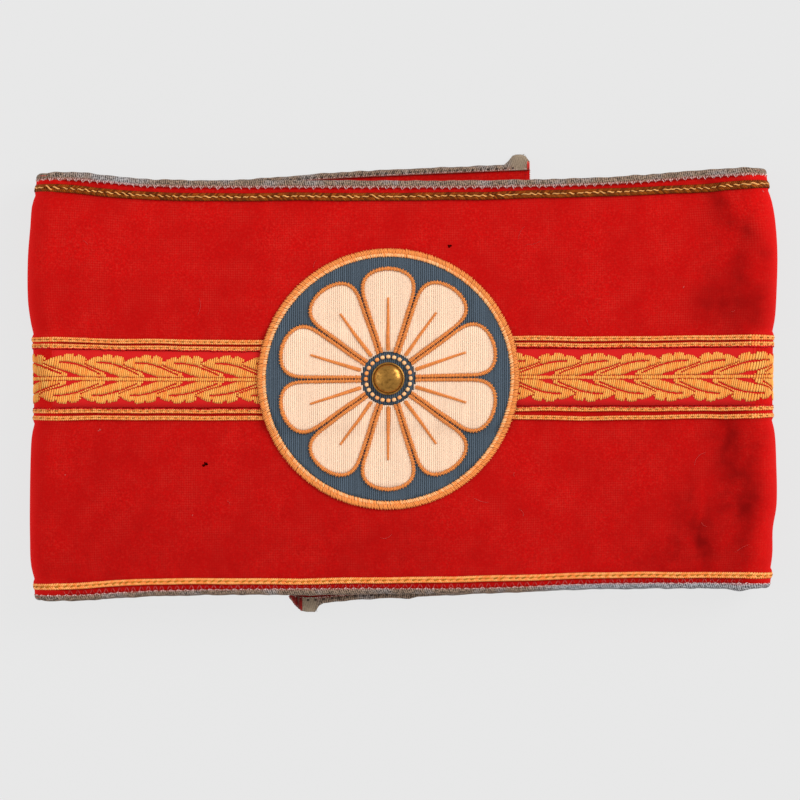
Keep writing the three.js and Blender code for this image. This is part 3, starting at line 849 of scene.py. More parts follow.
def seen_x(along):
    """How far right a point of the strip is seen from in front. The fold turns on past FOLD_X."""
    x = along - on_front(0)
    turned = np.clip((x - FOLD_X) / FOLD_RADIUS, 0, math.pi / 2)
    return np.minimum(x, FOLD_X) + FOLD_RADIUS * np.sin(turned)


def stroke_shade(stroke, x, across):
    run, climb = stroke.to_x - stroke.x, stroke.to_across - stroke.across
    share = ((x - stroke.x) * run + (across - stroke.across) * climb) / (run**2 + climb**2)
    share = np.clip(share, 0, 1)
    away = np.hypot(x - stroke.x - share * run, across - stroke.across - share * climb)
    return stroke.depth * bell(away / stroke.half)


def graded_tone_and_painted_shade(along, across):
    """How much deeper the wool's red is: graded towards the bottom and along the front, with painted shade
    on slopes that face away from the key light and in the creases by the right fold.
    """
    # How much deeper the red is graded towards the bottom, and by place along the front.
    faded = np.interp(across, GRADE_ACROSS, GRADE) * np.interp(along - on_front(0), GRADE_X, GRADE_SHARE)
    step = 0.7
    rise = dented(along - step, across) - dented(along + step, across)
    on_top = plateau((FRONT, FRONT + 4), (RIGHT_FOLD - 2, RIGHT_FOLD + 3), along)
    # Painted shade on the slopes that rise to the right, facing away from the key light.
    painted_slope_shade = PAINTED_SLOPE_SHADE * np.clip(rise / (2 * step), -0.03, 1) * on_top
    stroke_shades = sum(stroke_shade(stroke, seen_x(along), across) for stroke in CREASE_SHADE_STROKES)
    return np.clip(faded + painted_slope_shade + stroke_shades, 0, 1)


def painted_fold_highlight(along):
    """Painted highlight on the folds' sides: most on the left one, in a narrow band."""
    turned = FOLD_RADIUS * math.pi / 2
    left = bell((along - FRONT + turned) / (0.6 * turned))
    right = bell((along - RIGHT_FOLD - turned) / (0.6 * turned))
    return 0.75 * left + 0.6 * right


class ARMBAND_OT_wool(bpy.types.Operator):
    """Lays the wool strip round the flattened loop."""

    bl_idname = "armband.wool"
    bl_label = "Wool band"

    def execute(self, context):
        cell = context.scene.armband_sizes.wool_cell / MM
        inset = TAPE + SEAT
        alongs = whole_strip(cell)
        spread = stations_at(BOTTOM_EDGE + inset, TOP_EDGE - inset, cell)
        rows = [m for trim in TRIM_ZONES for m in trim]
        acrosses = np.union1d(spread, np.clip(rows, spread[0], spread[-1]))
        grid = np.meshgrid(alongs, acrosses, indexing="ij")
        finish = fulled_wool(context.scene.armband_colours), "red_wool"
        # The wool carries a graded tone with painted crease shade, and a painted highlight on its folds.
        sheet_grid(
            "wool_band", finish, "band_cloth", alongs, acrosses, -WOOL_FACE, WOOL_FACE + pushed_out(*grid),
            deep=graded_tone_and_painted_shade(*grid), rubbed=painted_fold_highlight(grid[0]),
        )
        return {"FINISHED"}


# The bindings

# Each binding: its side and edge, its width in front and behind, how far inside its border its
# stitches start and how far they go on, its lumps and where its grey is cooler. Its worn end stands
# out by its lobe and is wrapped with thread so far on.
BINDINGS = [
    Row(
        node="binding_top", side=1, edge=TOP_EDGE, width=TOP_BINDING_WIDTH, inner_width=1.75,
        tucked=0.4, stitched=0.9, worn_at=0.0, inward=1, wrapped=0.6, wrap_tone=0.7, seed=11,
        lobe=Row(length=6.6, rise=2.8, height=2.5, fall=1.6, end_height=0.9, rounding=0.3),
        cool=Row(start=on_front(-82), end=on_front(-66), share=0.45),
        lumps=table("along half height", (on_front(-84), 3, 0.25)),
    ),
    Row(
        node="binding_bottom", side=-1, edge=BOTTOM_EDGE, width=BOTTOM_BINDING_WIDTH, inner_width=1.85,
        tucked=0.25, stitched=0.45, worn_at=STRIP_END, inward=-1, wrapped=3.4, wrap_tone=0.0, seed=12,
        lobe=Row(length=8.2, rise=1.5, height=2.1, fall=4.2, end_height=0.3, rounding=1.1),
        cool=Row(start=on_front(36), end=on_right_flap(60), share=0.9),
        lumps=table(
            "along half height",
            (on_front(88.3), 2.2, 0.7),
            (on_right_flap(1.5), 1.6, 0.45),
            (on_front(-22), 12, 0.32),
            (on_front(58), 8, 0.12),
        ),
    ),
]
TAPE_LEG = 0.22  # the share of a binding's section that each flat leg takes
KNIT = 0.5  # the tape's own thickness


def stand_out(lobe, from_end):
    """How far the worn end of a tape stands out, by the distance from its end."""
    risen = lobe.height * smooth_rise(lobe.length, lobe.length - lobe.rise, from_end)
    fallen = (lobe.height - lobe.end_height) * smooth_rise(lobe.fall, 0, from_end)
    return risen - fallen - lobe.rounding * (1 - smooth_rise(0, 1.6, from_end))


def lumps(alongs, seed, size, height):
    """Uneven swellings along a tape, as a few waves of uneven lengths."""
    rng = np.random.default_rng(seed)
    total = np.zeros_like(alongs)
    waves = 6
    for _ in range(waves):
        spacing = size * rng.uniform(0.5, 2.2)
        total += np.sin(2 * math.pi * alongs / spacing + rng.uniform(0, 6.3))
    return height * total / waves


def tape_edge(binding, alongs):
    """Where a binding's outer edge runs across the strip, and how worn it is there."""
    stands_out = stand_out(binding.lobe, np.abs(alongs - binding.worn_at))
    uneven = lumps(alongs, binding.seed, 7, 0.2)
    for lump in binding.lumps:
        uneven = uneven + lump.height * bell((alongs - lump.along) / lump.half)
    edge = binding.edge + binding.side * (stands_out + uneven - 0.1)
    return edge, np.clip(stands_out / binding.lobe.height, 0, 1)


def around_tape(binding, alongs, turns, rise):
    """The U round a binding at some turns from 0, on the outer leg, to 1, on the inner one."""
    edge, worn = tape_edge(binding, alongs)
    leg = binding.edge - binding.side * np.where(turns > 0.5, binding.inner_width, binding.width)
    angle = math.pi * np.clip((turns - TAPE_LEG) / (1 - 2 * TAPE_LEG), 0, 1)
    bend = binding.side * rise * 0.8
    flat = 1 - np.minimum(turns, 1 - turns) / TAPE_LEG
    start = edge - bend
    across = np.where(flat > 0, start + (leg - start) * flat, start + bend * np.sin(angle))
    return across, np.broadcast_to(rise * np.cos(angle), across.shape), worn


def fold_tape(binding, finish):
    alongs = whole_strip(1.1)
    outer = np.sort(np.append(np.linspace(0, 1, 13), [0.012, 0.988]))
    rise = TOP - 0.22
    across_out, out_out, worn = around_tape(binding, alongs[:, None], outer, rise)
    across_in, out_in, _ = around_tape(binding, alongs[:, None], outer[::-1], rise - KNIT)
    across = np.concatenate([across_out, across_in], 1)
    out = np.concatenate([out_out, out_in], 1)
    to_wool = np.clip(np.abs(np.concatenate([outer, outer[::-1]]) - 0.5) * 6 - 2, 0, 1)
    if binding.side > 0:
        across, out, to_wool = across[:, ::-1], out[:, ::-1], to_wool[::-1]
    cool = binding.cool
    cooler = plateau((cool.start - 6, cool.start + 6), (cool.end - 6, cool.end + 6), alongs)
    strip_section(
        binding.node + "_tape", finish, binding.node, alongs, across, out,
        worn=np.repeat(worn, across.shape[1]),
        inner=np.tile(to_wool, len(alongs)),
        cool=np.repeat(cool.share * cooler, across.shape[1]),
    )


def wrap_end(binding):
    starts = binding.worn_at + binding.inward * np.arange(0.2, binding.wrapped, 0.3)
    turns = np.linspace(0.0, 1.0, 11)
    rng = np.random.default_rng(binding.seed + 20)
    lean = rng.normal(0, 0.12, (len(starts), 1))
    along = np.clip(starts[:, None] + lean * (turns - 0.5), 0.1, STRIP_END - 0.1)
    across, out, _ = around_tape(binding, along, turns, TOP - 0.13)
    tones = binding.wrap_tone + rng.uniform(0, 0.35, len(starts))
    wound = coords_at(along, across, out)
    threads(binding.node + "_end", "end thread", [wound], 0.15, 0.12, sides=4, tone=tones)


class ARMBAND_OT_bindings(bpy.types.Operator):
    """Folds the knitted tape over both edges, and wraps its worn ends with red thread."""

    bl_idname = "armband.bindings"
    bl_label = "Bindings"

    def execute(self, context):
        finish = knitted_tape(context.scene.armband_colours), "grey_tape"
        for binding in BINDINGS:
            fold_tape(binding, finish)
            wrap_end(binding)
        return {"FINISHED"}


# The cords

# The cords are sewn on a little off their seats, and their stitches pull them to and fro. The pulls
# are how far up each runs from its line at these places along the front.
PULLED_AT = [-92, -80, -65, -42, -26, -10, 5, 20, 35, 46, 61, 76, 90]
CORDS = table(
    "node across width yarn pulls",
    (
        "edge_cord_top", TOP_EDGE - TOP_CORD_INSET - 0.18, 1.95, "bronze rayon",
        [0.15, -0.29, -0.2, -0.28, -0.1, -0.2, -0.05, 0.0, 0.25, 0.18, 0.0, -0.38, -0.1],
    ),
    (
        "edge_cord_bottom", BOTTOM_EDGE + BOTTOM_CORD_INSET + 0.13, 1.5, "gold rayon",
        [-0.05, 0.16, 0.15, -0.13, -0.38, -0.15, 0.0, 0.2, 0.06, 0.0, 0.0, -0.16, -0.06],
    ),
    (
        "braid_cord_top_outer", OUTER_CORD_AT - 0.1, 1.14, "gold rayon",
        [0.0, -0.3, -0.05, -0.22, 0.0, 0.0, 0.0, 0.0, 0.16, 0.03, -0.05, -0.1, -0.12],
    ),
    (
        "braid_cord_top_inner", INNER_CORD_AT + 0.08, 1.08, "gold rayon",
        [-0.03, -0.25, -0.1, -0.3, 0.0, 0.0, 0.0, 0.0, 0.05, -0.1, -0.13, -0.15, -0.1],
    ),
    (
        "braid_cord_bottom_inner", -INNER_CORD_AT - 0.14, 1.06, "gold rayon",
        [0.26, 0.25, 0.1, 0.06, 0.0, 0.0, 0.0, 0.0, 0.26, 0.15, 0.1, 0.2, 0.3],
    ),
    (
        "braid_cord_bottom_outer", -OUTER_CORD_AT + 0.06, 1.02, "gold rayon",
        [0.03, 0.15, -0.03, -0.13, 0.0, 0.0, 0.0, 0.0, -0.4, -0.68, -0.5, -0.18, -0.13],
    ),
)
CORD_SIDES = 12


def cord_line(cord, along):
    """Where a cord runs across the strip."""
    pulled = np.interp(along - on_front(0), PULLED_AT, cord.pulls)
    return cord.across + pulled + 0.04 * np.sin(along / 3.1 + 9 * cord.width)


def cord_core(cord):
    alongs = whole_strip(1.6, TRIM_MARGIN, TRIM_END)
    turn = 2 * math.pi * (np.arange(CORD_SIDES) + 0.5) / CORD_SIDES
    rise = (TOP - FACE) / 2 - 0.08
    groove = 1 - 0.35 * np.abs(np.sin(turn)) ** 3
    across = cord_line(cord, alongs)[:, None] + (cord.width / 2 - 0.1) * np.cos(turn)
    out = FACE + rise + rise * np.sign(np.sin(turn)) * np.abs(np.sin(turn)) ** 0.5 * groove
    tones = np.full(len(alongs) * CORD_SIDES, 0.1)
    finish = yarn_finish(cord.yarn)
    strip_section(cord.node + "_core", finish, cord.node, alongs, across, out, tone=tones)


def cord_strands(cord, spacing):
    starts = stations_at(TRIM_MARGIN + 0.2, TRIM_END - 0.8, spacing)
    if abs(cord.across) < PATCH_RADIUS:
        starts = seen_beside_patch(starts, 2.5)
    swing = np.linspace(-1.0, 1.0, 4 if cord.width < 1.3 else 5)
    ribs = []
    for side in (-1, 1):
        along = starts[:, None] + cord.width * 0.32 * swing
        across = cord_line(cord, along) + side * cord.width / 4 * (1 + 0.9 * np.sin(swing * 1.35))
        out = TOP - 0.12 - (TOP - FACE - 0.2) * (1 - np.cos(swing * 1.25)) * 0.75
        ribs.append(coords_at(along, across, out))
    threads(cord.node + "_strands", cord.yarn, ribs, spacing * 0.5, 0.12)


class ARMBAND_OT_cords(bpy.types.Operator):
    """Plaits the six cords, each of two ribs of slanting strands with a groove between them."""

    bl_idname = "armband.cords"
    bl_label = "Cords"

    def execute(self, context):
        for cord in CORDS:
            cord_core(cord)
            cord_strands(cord, context.scene.armband_sizes.plait / MM)
        return {"FINISHED"}


# The braid

# The braid's leaf: its length, its greatest half width, how high its middle line climbs and how
# soon, its red vein, the red gap round it, and the notches in its edge.
LEAF = Row(length=17.0, half=2.55, base=0.3, climb=3.9, by=13.0, vein=0.22, gap=0.36)
LEAF_NOTCH = Row(spacing=3.4, half=0.42, depth=0.34)
STEM_HALF = 0.4
FLOAT_SLANT = 0.17  # how far a gold thread leans along the strip for each millimetre up
WOVEN_HALF = 6.9  # how far up and down the leaves reach


def runs(covered, samples):
    """The covered stretches of each column, as its index and both of the stretch's ends."""
    change = np.diff(np.pad(covered, ((0, 0), (1, 1))).astype(int), axis=1)
    column, first = np.nonzero(change == 1)
    _, last = np.nonzero(change == -1)
    return column, samples[first], samples[last - 1]


def leaf_cover(forward, across, spacing):
    """Whether gold covers a point of the braid. forward is its distance from the patch's middle."""
    height = np.abs(across)
    covered = height < STEM_HALF
    free = height > STEM_HALF + LEAF.gap / 2
    for back in (2, 1, 0):
        dx = forward - (np.floor(forward / spacing) - back) * spacing
        share = np.clip(dx / LEAF.length, 0, 1)
        aside = height - LEAF.base - LEAF.climb * np.sin(math.pi / 2 * np.clip(dx / LEAF.by, 0, 1))
        half = LEAF.half * np.sin(math.pi * share**0.8) ** 0.7
        from_notch = np.abs((dx + 0.25 * spacing) % LEAF_NOTCH.spacing - LEAF_NOTCH.spacing / 2)
        notched = half * (1 - LEAF_NOTCH.depth * bell(from_notch / LEAF_NOTCH.half))
        along_leaf = (dx > 0) & (dx < LEAF.length)
        inside = along_leaf & (aside < notched) & (aside > -half)
        vein = (np.abs(aside) < LEAF.vein) & (share > 0.1) & (share < 0.8)
        covered = covered | (free & inside & ~vein)
        free = free & ~(along_leaf & (aside < half + LEAF.gap) & (aside > -half - LEAF.gap))
    return covered


def leaf_floats(spacing, pair):
    steps = np.arange(0.5, max(PATCH_AT, STRIP_END - PATCH_AT) / spacing)
    alongs = PATCH_AT + np.concatenate([-steps[::-1], steps]) * spacing
    alongs = alongs[(alongs > TRIM_MARGIN + 1.5) & (alongs < TRIM_END - 1.5)]
    alongs = seen_beside_patch(alongs, 3)
    samples = np.linspace(-WOVEN_HALF, WOVEN_HALF, 185)
    covered = leaf_cover(np.abs(alongs - PATCH_AT)[:, None], samples, pair)
    column, low, high = runs(covered, samples)
    jitter = np.random.default_rng(31).normal(0, 0.05, (2, len(column)))
    low = low - 0.05 + jitter[0]
    high = high + 0.05 + jitter[1]
    share = np.linspace(0, 1, 5)
    across = low[:, None] + (high - low)[:, None] * share
    along = alongs[column][:, None] + FLOAT_SLANT * across
    floats = coords_at(along, across, TOP - 0.2 + 0.08 * np.sin(math.pi * share) ** 0.6)
    threads("braid_leaves", "floating rayon", [floats], spacing * 0.5, 0.12, taper=0.8)


class ARMBAND_OT_braid(bpy.types.Operator):
    """Weaves the red braid and floats gold leaves over it."""

    bl_idname = "armband.braid"
    bl_label = "Leaf braid"

    def execute(self, context):
        sizes = context.scene.armband_sizes
        alongs = whole_strip(1.6, TRIM_MARGIN, TRIM_END)
        acrosses = np.linspace(-BRAID_WIDTH / 2, BRAID_WIDTH / 2, 9)
        finish = yarn_finish("braid cotton")
        sheet_grid("braid_ground", finish, "braid_ribbon", alongs, acrosses, FACE, TOP - 0.3)
        leaf_floats(sizes.float_gap / MM, sizes.leaf / MM)
        return {"FINISHED"}


# The patch

# The rosette's petals: rounded wedges that nearly touch, and a ring of knots at their feet.
PETAL = Row(start=6.9, length=21.4, foot=1.75, spread=0.315, round_from=13.2)
PETAL_VEIN = Row(start=0.4, end=13.5, foot_half=0.5, tip_half=0.22, lean=0.5)
OUTLINE_HALF = 0.46
PATCH_CLOTH = 0.35
KNOTS = 24
KNOT_RING = 5.7


def patch_coords(dx, dy, above):
    """Strip coordinates of points of the patch, by their distance from its middle and height.

    The patch lies up on the braid, and down on the wool beside it."""
    start = BRAID_EDGE + SEAT
    fallen = smooth_rise(start, start + PATCH_SLOPE, np.abs(dy))
    return coords_at(PATCH_AT + dx, dy, FACE + 0.05 + (TRIM + 0.18) * (1 - fallen) + above)


def patch_polar(radius, angle, above):
    return patch_coords(radius * np.cos(angle), radius * np.sin(angle), above)


def petal_half(ahead):
    """Half a petal's width at a distance ahead of its foot."""
    rounding = np.clip((ahead - PETAL.round_from) / (PETAL.length - PETAL.round_from), 0, 1)
    return (PETAL.foot + PETAL.spread * ahead) * np.sqrt(1 - rounding**2.4)


def petal_cover(dx, dy, count):
    """Whether a petal covers a point at dx and dy from the patch's middle."""
    radius = np.hypot(dx, dy)
    sector = 2 * math.pi / count
    turned = (np.arctan2(dy, dx) - sector / 2) % sector
    turned = np.minimum(turned, sector - turned)
    ahead = radius * np.cos(turned) - PETAL.start
    half = petal_half(np.clip(ahead, 0, PETAL.length))
    return (ahead > 0) & (ahead < PETAL.length) & (radius * np.sin(turned) < half)


def patch_cloth():
    sides = 72
    rings = (PATCH_RADIUS - RIM_WIDTH / 2) * np.linspace(0, 1, 25)[1:]
    radii = np.concatenate([rings, rings[::-1]])[:, None]
    high = PATCH_CLOTH - 0.18
    above = np.repeat([0.0, high], len(rings))[:, None]
    discs = patch_polar(radii, 2 * math.pi * np.arange(sides) / sides, above).reshape(-1, 3)
    coords = np.concatenate([discs, patch_coords(0.0, 0.0, 0.0)[None], patch_coords(0.0, 0.0, high)[None]])
    ring = np.arange(sides)
    faces = [
        tube_faces(1, len(radii), sides)[0],
        fan_faces(ring[::-1], len(discs)),
        fan_faces(ring + len(discs) - sides, len(discs) + 1),
    ]
    tone = np.full(len(coords), 0.2)
    finish = yarn_finish("ribbed silk")
    new_piece("patch_cloth", place(coords)[0], faces, finish, "patch_ground", strip=coords * MM, tone=tone)


def rib_paths(radius, spacing, petals, stations, above, on_petals):
    """The ribs of the patch's silk or of its petals, cut to what they cover."""
    count = round(2 * radius / spacing)
    dx = (np.arange(count) + 0.5 - count / 2) * spacing
    samples = np.linspace(-radius, radius, 800)
    covered = petal_cover(dx[:, None], samples, petals)
    if not on_petals:
        covered = (np.hypot(dx[:, None], samples) < radius) & ~covered
    column, low, high = runs(covered, samples)
    dy = low[:, None] + (high - low)[:, None] * np.linspace(0, 1, stations)
    return patch_coords(dx[column][:, None], dy, above)


def rim_row(name, yarn, middle_radius, half, uneven, spacing, stands_for=None):
    count = round(2 * math.pi * middle_radius / spacing)
    rng = np.random.default_rng(len(name))
    angles = 2 * math.pi * (np.arange(count) + rng.normal(0, 0.12, count)) / count
    share = np.linspace(-1, 1, 5)
    reach = half + uneven * (np.arange(count) % 2 + rng.normal(0, 0.4, count))[:, None]
    above = 0.3 + 0.32 * np.sqrt(np.clip(1 - share**2 * 0.92, 0, 1))
    stitches = patch_polar(middle_radius + share * reach, angles[:, None] + share * 0.007, above)
    threads(name, yarn, [stitches], spacing * 0.56, 0.1, stands_for=stands_for)


def petal_border(spacing):
    """Evenly spaced points of one side of a petal, from its foot to its tip, with directions out."""
    ahead = PETAL.length * (1 - np.linspace(1, 0, 600) ** 2.2)
    aside = petal_half(ahead)
    gone = np.concatenate([[0], np.cumsum(np.hypot(np.diff(ahead), np.diff(aside)))])
    even = stations_at(0, gone[-1], spacing)
    ahead, aside = (np.interp(even, gone, side)[:, None] for side in (ahead, aside))
    out_ahead, out_aside = -np.gradient(aside, axis=0), np.gradient(ahead, axis=0)
    size = np.hypot(out_ahead, out_aside)
    return ahead, aside, out_ahead / size, out_aside / size


def petal_threads(count, spacing):
    ahead, aside, out_ahead, out_aside = petal_border(spacing)
    border = np.linspace(-1, 1, 5)
    rng = np.random.default_rng(42)
    uneven = 0.14 * (np.arange(len(ahead)) % 2) + rng.normal(0, 0.05, len(ahead))
    reach = (OUTLINE_HALF + uneven[:, None] - 0.05) * border
    line_ahead = ahead + out_ahead * reach + out_aside * border * 0.15
    line_aside = np.abs(aside + out_aside * reach - out_ahead * border * 0.15)
    vein = stations_at(PETAL_VEIN.start, PETAL_VEIN.end, spacing)
    wide = np.interp(vein, vein[[0, -1]], [PETAL_VEIN.foot_half, PETAL_VEIN.tip_half])
    vein_ahead = vein[:, None] + PETAL_VEIN.lean * np.abs(border)
    rows = {
        "petal_outline": [(line_ahead, -line_aside), (line_ahead, line_aside)],
        "petal_veins": [(vein_ahead, wide[:, None] * border)],
    }
    above = PATCH_CLOTH + 0.28 + 0.2 * np.cos(math.pi / 2 * border)
    for name, paths in rows.items():
        parts = []
        for turn in 2 * math.pi * (np.arange(count) + 0.5) / count:
            for forward, side in paths:
                dx = (PETAL.start + forward) * math.cos(turn) - side * math.sin(turn)
                dy = (PETAL.start + forward) * math.sin(turn) + side * math.cos(turn)
                parts.append(patch_coords(dx, dy, above))
        threads(name, "gold silk", parts, spacing * 0.5, 0.12)


def knot_ring():
    angles = 2 * math.pi * np.arange(KNOTS) / KNOTS
    share = np.linspace(-0.5, 0.5, 5)
    above = PATCH_CLOTH + 0.15 + 0.3 * np.cos(math.pi * share)
    knots = patch_polar(KNOT_RING + share * 0.9, angles[:, None], above)
    threads("knot_ring", "pale gold silk", [knots], 0.5, 0.32, sides=6, taper=0.35)


class ARMBAND_OT_patch(bpy.types.Operator):
    """Sews the ribbed round patch on, with its satin rim and a rosette of petals."""

    bl_idname = "armband.patch"
    bl_label = "Patch"

    def execute(self, context):
        sizes = context.scene.armband_sizes
        rib, satin, petals = sizes.patch_rib / MM, sizes.satin / MM, sizes.petals
        patch_cloth()
        inside = PATCH_RADIUS - RIM_WIDTH
        ribs = rib_paths(inside - 0.1, rib, petals, 9, PATCH_CLOTH, False)
        threads("patch_ribs", "ribbed silk", [ribs], rib * 0.5, 0.1, taper=0.9)
        outer, inner = PATCH_RADIUS - 0.3 * RIM_WIDTH, PATCH_RADIUS - 0.78 * RIM_WIDTH
        rim_row("patch_rim_outer", "gold silk", outer, 0.36 * RIM_WIDTH, 0.12, satin, "patch_rim")
        rim_row("patch_rim_inner", "pale gold silk", inner, 0.27 * RIM_WIDTH, 0.08, satin * 1.1)
        ribs = rib_paths(inside, rib, petals, 14, PATCH_CLOTH + 0.16, True)
        threads("petal_ribs", "cream silk", [ribs], rib * 0.58, 0.08, taper=0.95)
        petal_threads(petals, satin)
        knot_ring()
        return {"FINISHED"}


class ARMBAND_OT_stud(bpy.types.Operator):
    """Turns the domed brass stud, with its post and the flattened end behind."""

    bl_idname = "armband.stud"
    bl_label = "Stud"

    def execute(self, context):
        low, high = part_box("centre_stud")
        back, top = low.z / MM, high.z / MM
        foot = top - STUD_HEIGHT
        lip, dome = STUD_LIP / 2, STUD_RADIUS - STUD_LIP
        profile = [(CLINCH_RADIUS - 0.2, back)]
        profile += [(CLINCH_RADIUS, back + height) for height in (0.15, CLINCH - 0.05)]
        profile += [(POST_RADIUS, height) for height in (back + CLINCH, foot)]
        for t in np.linspace(-1.4, 3.0, 9):
            profile.append((STUD_RADIUS - lip + lip * math.cos(t), foot + LIP_HALF * (1 + math.sin(t))))
        for t in np.linspace(0.12, math.pi / 2, 12)[:-1]:
            rise = DOME_FOOT + (STUD_HEIGHT - DOME_FOOT) * math.sin(t)
            profile.append((dome * math.cos(t), foot + rise))
        radii, heights = np.array(profile).T[..., None]
        sides = 48
        turn = 2 * math.pi * np.arange(sides) / sides
        centre = (low + high) / 2 / MM
        x, y = centre.x + radii * np.cos(turn), centre.y + radii * np.sin(turn)
        points = np.append(coords_at(x, y, heights).reshape(-1, 3), [[centre.x, centre.y, top]], axis=0)
        walls, ends = tube_faces(1, len(profile), sides)
        tip = len(points) - 1
        faces = [walls, ends[:1], fan_faces(np.arange(tip - sides, tip), tip)]
        finish = pressed_brass(context.scene.armband_colours), "brass_stud"
        new_piece("brass_stud", points * MM, faces, finish, "centre_stud")
        return {"FINISHED"}


# The stitches

# A group of junction stitches: how far on each starts, how far it leans, its share of the length and
# how many of the groups have it.
JUNCTION = table(
    "step lean size often",
    (0.0, 0.55, 1.0, 0.95),
    (0.35, 0.3, 0.6, 0.6),
    (1.15, -0.5, 0.9, 0.95),
    (1.5, -0.3, 0.5, 0.6),
)
# How far apart the stitches of the other rows are, and where the crosses and the seams run.
SPACING = Row(cross=2.05, couching=2.03, needle=1.9, zigzag=1.95, selvedge=0.9, overlock=0.55, seam=3.6)
CROSS = 0.55
CROSS_INSET = 0.85
SEAM_INSET = 3.4


def jittered(start, end, spacing, rng, spread=0.12):
    """Where the stitches of a row start, a little unevenly spaced."""
    starts = np.arange(start, end, spacing)
    return starts + rng.normal(0, spread, len(starts))


def dashes(starts, across, out, length, rise):
    """Short stitches from (start, across), each going on by length along and rise across."""
    share = np.linspace(0, 1, 4)
    across, rise = (np.broadcast_to(a, len(starts))[:, None] for a in (across, rise))
    lifted = out + np.sign(out) * 0.1 * np.sin(math.pi * share)
    return coords_at(starts[:, None] + length * share, across + rise * share, lifted)


def junctions(rng, spacing):
    share = np.linspace(0, 1, 4)
    parts = []
    for binding in BINDINGS:
        for face, leg, reach in ((1, binding.width, binding.stitched), (-1, binding.inner_width, 0.4)):
            line = binding.edge - binding.side * (leg - binding.tucked)
            groups = jittered(0.9, STRIP_END - 1.8, spacing, rng, 0.08)
            for stitch in JUNCTION:
                there = rng.random(len(groups)) < stitch.often
                along = groups[there][:, None] + stitch.step + stitch.lean * share
                length = stitch.size * reach * rng.uniform(0.7, 1.1, (len(along), 1))
                out = face * (TOP - 0.1 - 0.4 * share**2)
                parts.append(coords_at(along, line - binding.side * length * share, out))
    threads("junction_stitches", "pale cotton", parts, 0.09, 0.08, taper=0.3)


def crosses(rng):
    parts = []
    for binding in BINDINGS:
        rise = binding.side * CROSS
        line = binding.edge - binding.side * CROSS_INSET
        starts = jittered(4, STRIP_END - 5, SPACING.cross, rng)
        parts.append(dashes(starts, line, -(TOP - 0.2), CROSS, -rise))
        parts.append(dashes(starts, line - rise, -(TOP - 0.2), CROSS, rise))
    threads("inner_crosses", "dark cotton", parts, 0.12, 0.08)


def couching(rng):
    starts = jittered(TRIM_MARGIN + 1, TRIM_END - 3, SPACING.couching, rng)[:, None]
    rises = rng.normal(-0.1, 0.3, starts.shape)
    share = np.linspace(0, 1, 6)
    along = starts + rng.normal(1.85, 0.2, starts.shape) * share
    bowed = 0.14 * np.sin(2 * math.pi * share)
    across = cord_line(CORDS[0], along) + 0.05 + rises * (share - 0.5) + bowed
    bows = coords_at(along, across, TOP - 0.1 + 0.07 * np.sin(math.pi * share))
    threads("couching_stitches", "couching rayon", [bows], 0.19, 0.12, taper=0.3)


def needle_marks(rng):
    thin, wide = [], []
    for cord in CORDS[1:]:
        starts = jittered(TRIM_MARGIN + 1, TRIM_END - 2, SPACING.needle, rng)
        on_braid = abs(cord.across) < PATCH_RADIUS
        if on_braid:
            starts = seen_beside_patch(starts, 1.5)
        mean, spread, length = (0, 0.08, 0.75) if on_braid else (0.5, 0.12, 1.15)
        rises = rng.normal(mean, spread, len(starts))
        marks = dashes(starts, cord_line(cord, starts) - rises / 2, TOP - 0.08, length, rises)
        (thin if on_braid else wide).append(marks)
    # Dashes of painted shade: in the needle holes of the braid's cords, and in the grooves of the lower
    # edge cord's plait.
    threads("needle_marks", "olive thread", thin, 0.12, 0.06)
    threads("plait_grooves", "plait groove", wide, 0.17, 0.06)


def zigzag(rng):
    starts = jittered(1, STRIP_END - 2.5, SPACING.zigzag, rng, 0.06)
    line = BOTTOM_EDGE + BOTTOM_BINDING_WIDTH
    rise = BOTTOM_CORD_INSET - BOTTOM_BINDING_WIDTH - EDGE_CORD_WIDTH / 2 + 0.15
    there = dashes(starts, line, WOOL_FACE + 0.02, 0.6, rise)
    back = dashes(starts + 0.75, line + rise, WOOL_FACE + 0.02, 0.6, -rise)
    threads("zigzag_thread", "faded red cotton", [there, back], 0.12, 0.07)


def selvedges(rng):
    parts = []
    share = np.linspace(0, 1, 4)
    for cord in CORDS:
        if cord.node.endswith("_inner"):
            starts = jittered(TRIM_MARGIN + 1, TRIM_END - 2, SPACING.selvedge, rng)
            along = seen_beside_patch(starts, 1.5)[:, None] + share
            under = 0.62 + rng.normal(0, 0.09, (len(along), 1)) - 0.2 * np.sin(math.pi * share)
            across = cord_line(cord, along) - np.sign(cord.across) * under
            parts.append(coords_at(along, across, TOP - 0.12))
    threads("braid_selvedges", "selvedge cotton", parts, 0.2, 0.12)


def end_overlock(rng):
    across = jittered(BOTTOM_EDGE + 1.3, TOP_EDGE - 1.3, SPACING.overlock, rng, 0.06)
    angle = np.linspace(-0.5, 0.5, 7) * math.pi
    parts = []
    for end, inward in ((0.0, 1), (STRIP_END, -1)):
        along = end + inward * (1.3 - np.cos(angle) * 1.36)
        parts.append(coords_at(along, across[:, None] + 0.1 * angle, -(WOOL_FACE + 0.05) * np.sin(angle)))
    threads("end_overlock", "red cotton", parts, 0.17, 0.12, sides=5)


def seams(rng):
    across = np.arange(BOTTOM_EDGE + 7, TOP_EDGE - 7, SPACING.seam)
    across = across[np.abs(across) > BRAID_EDGE + 1][:, None]
    share = np.linspace(0, 1, 5)
    parts = []
    for line in (SEAM_INSET, STRIP_END - SEAM_INSET):
        along = line + rng.normal(0, 0.2, across.shape) + 0.2 * share
        parts.append(coords_at(along, across + 2.0 * share, WOOL_FACE + 0.12 * np.sin(math.pi * share)))
    threads("seam_stitches", "red cotton", parts, 0.2, 0.12)


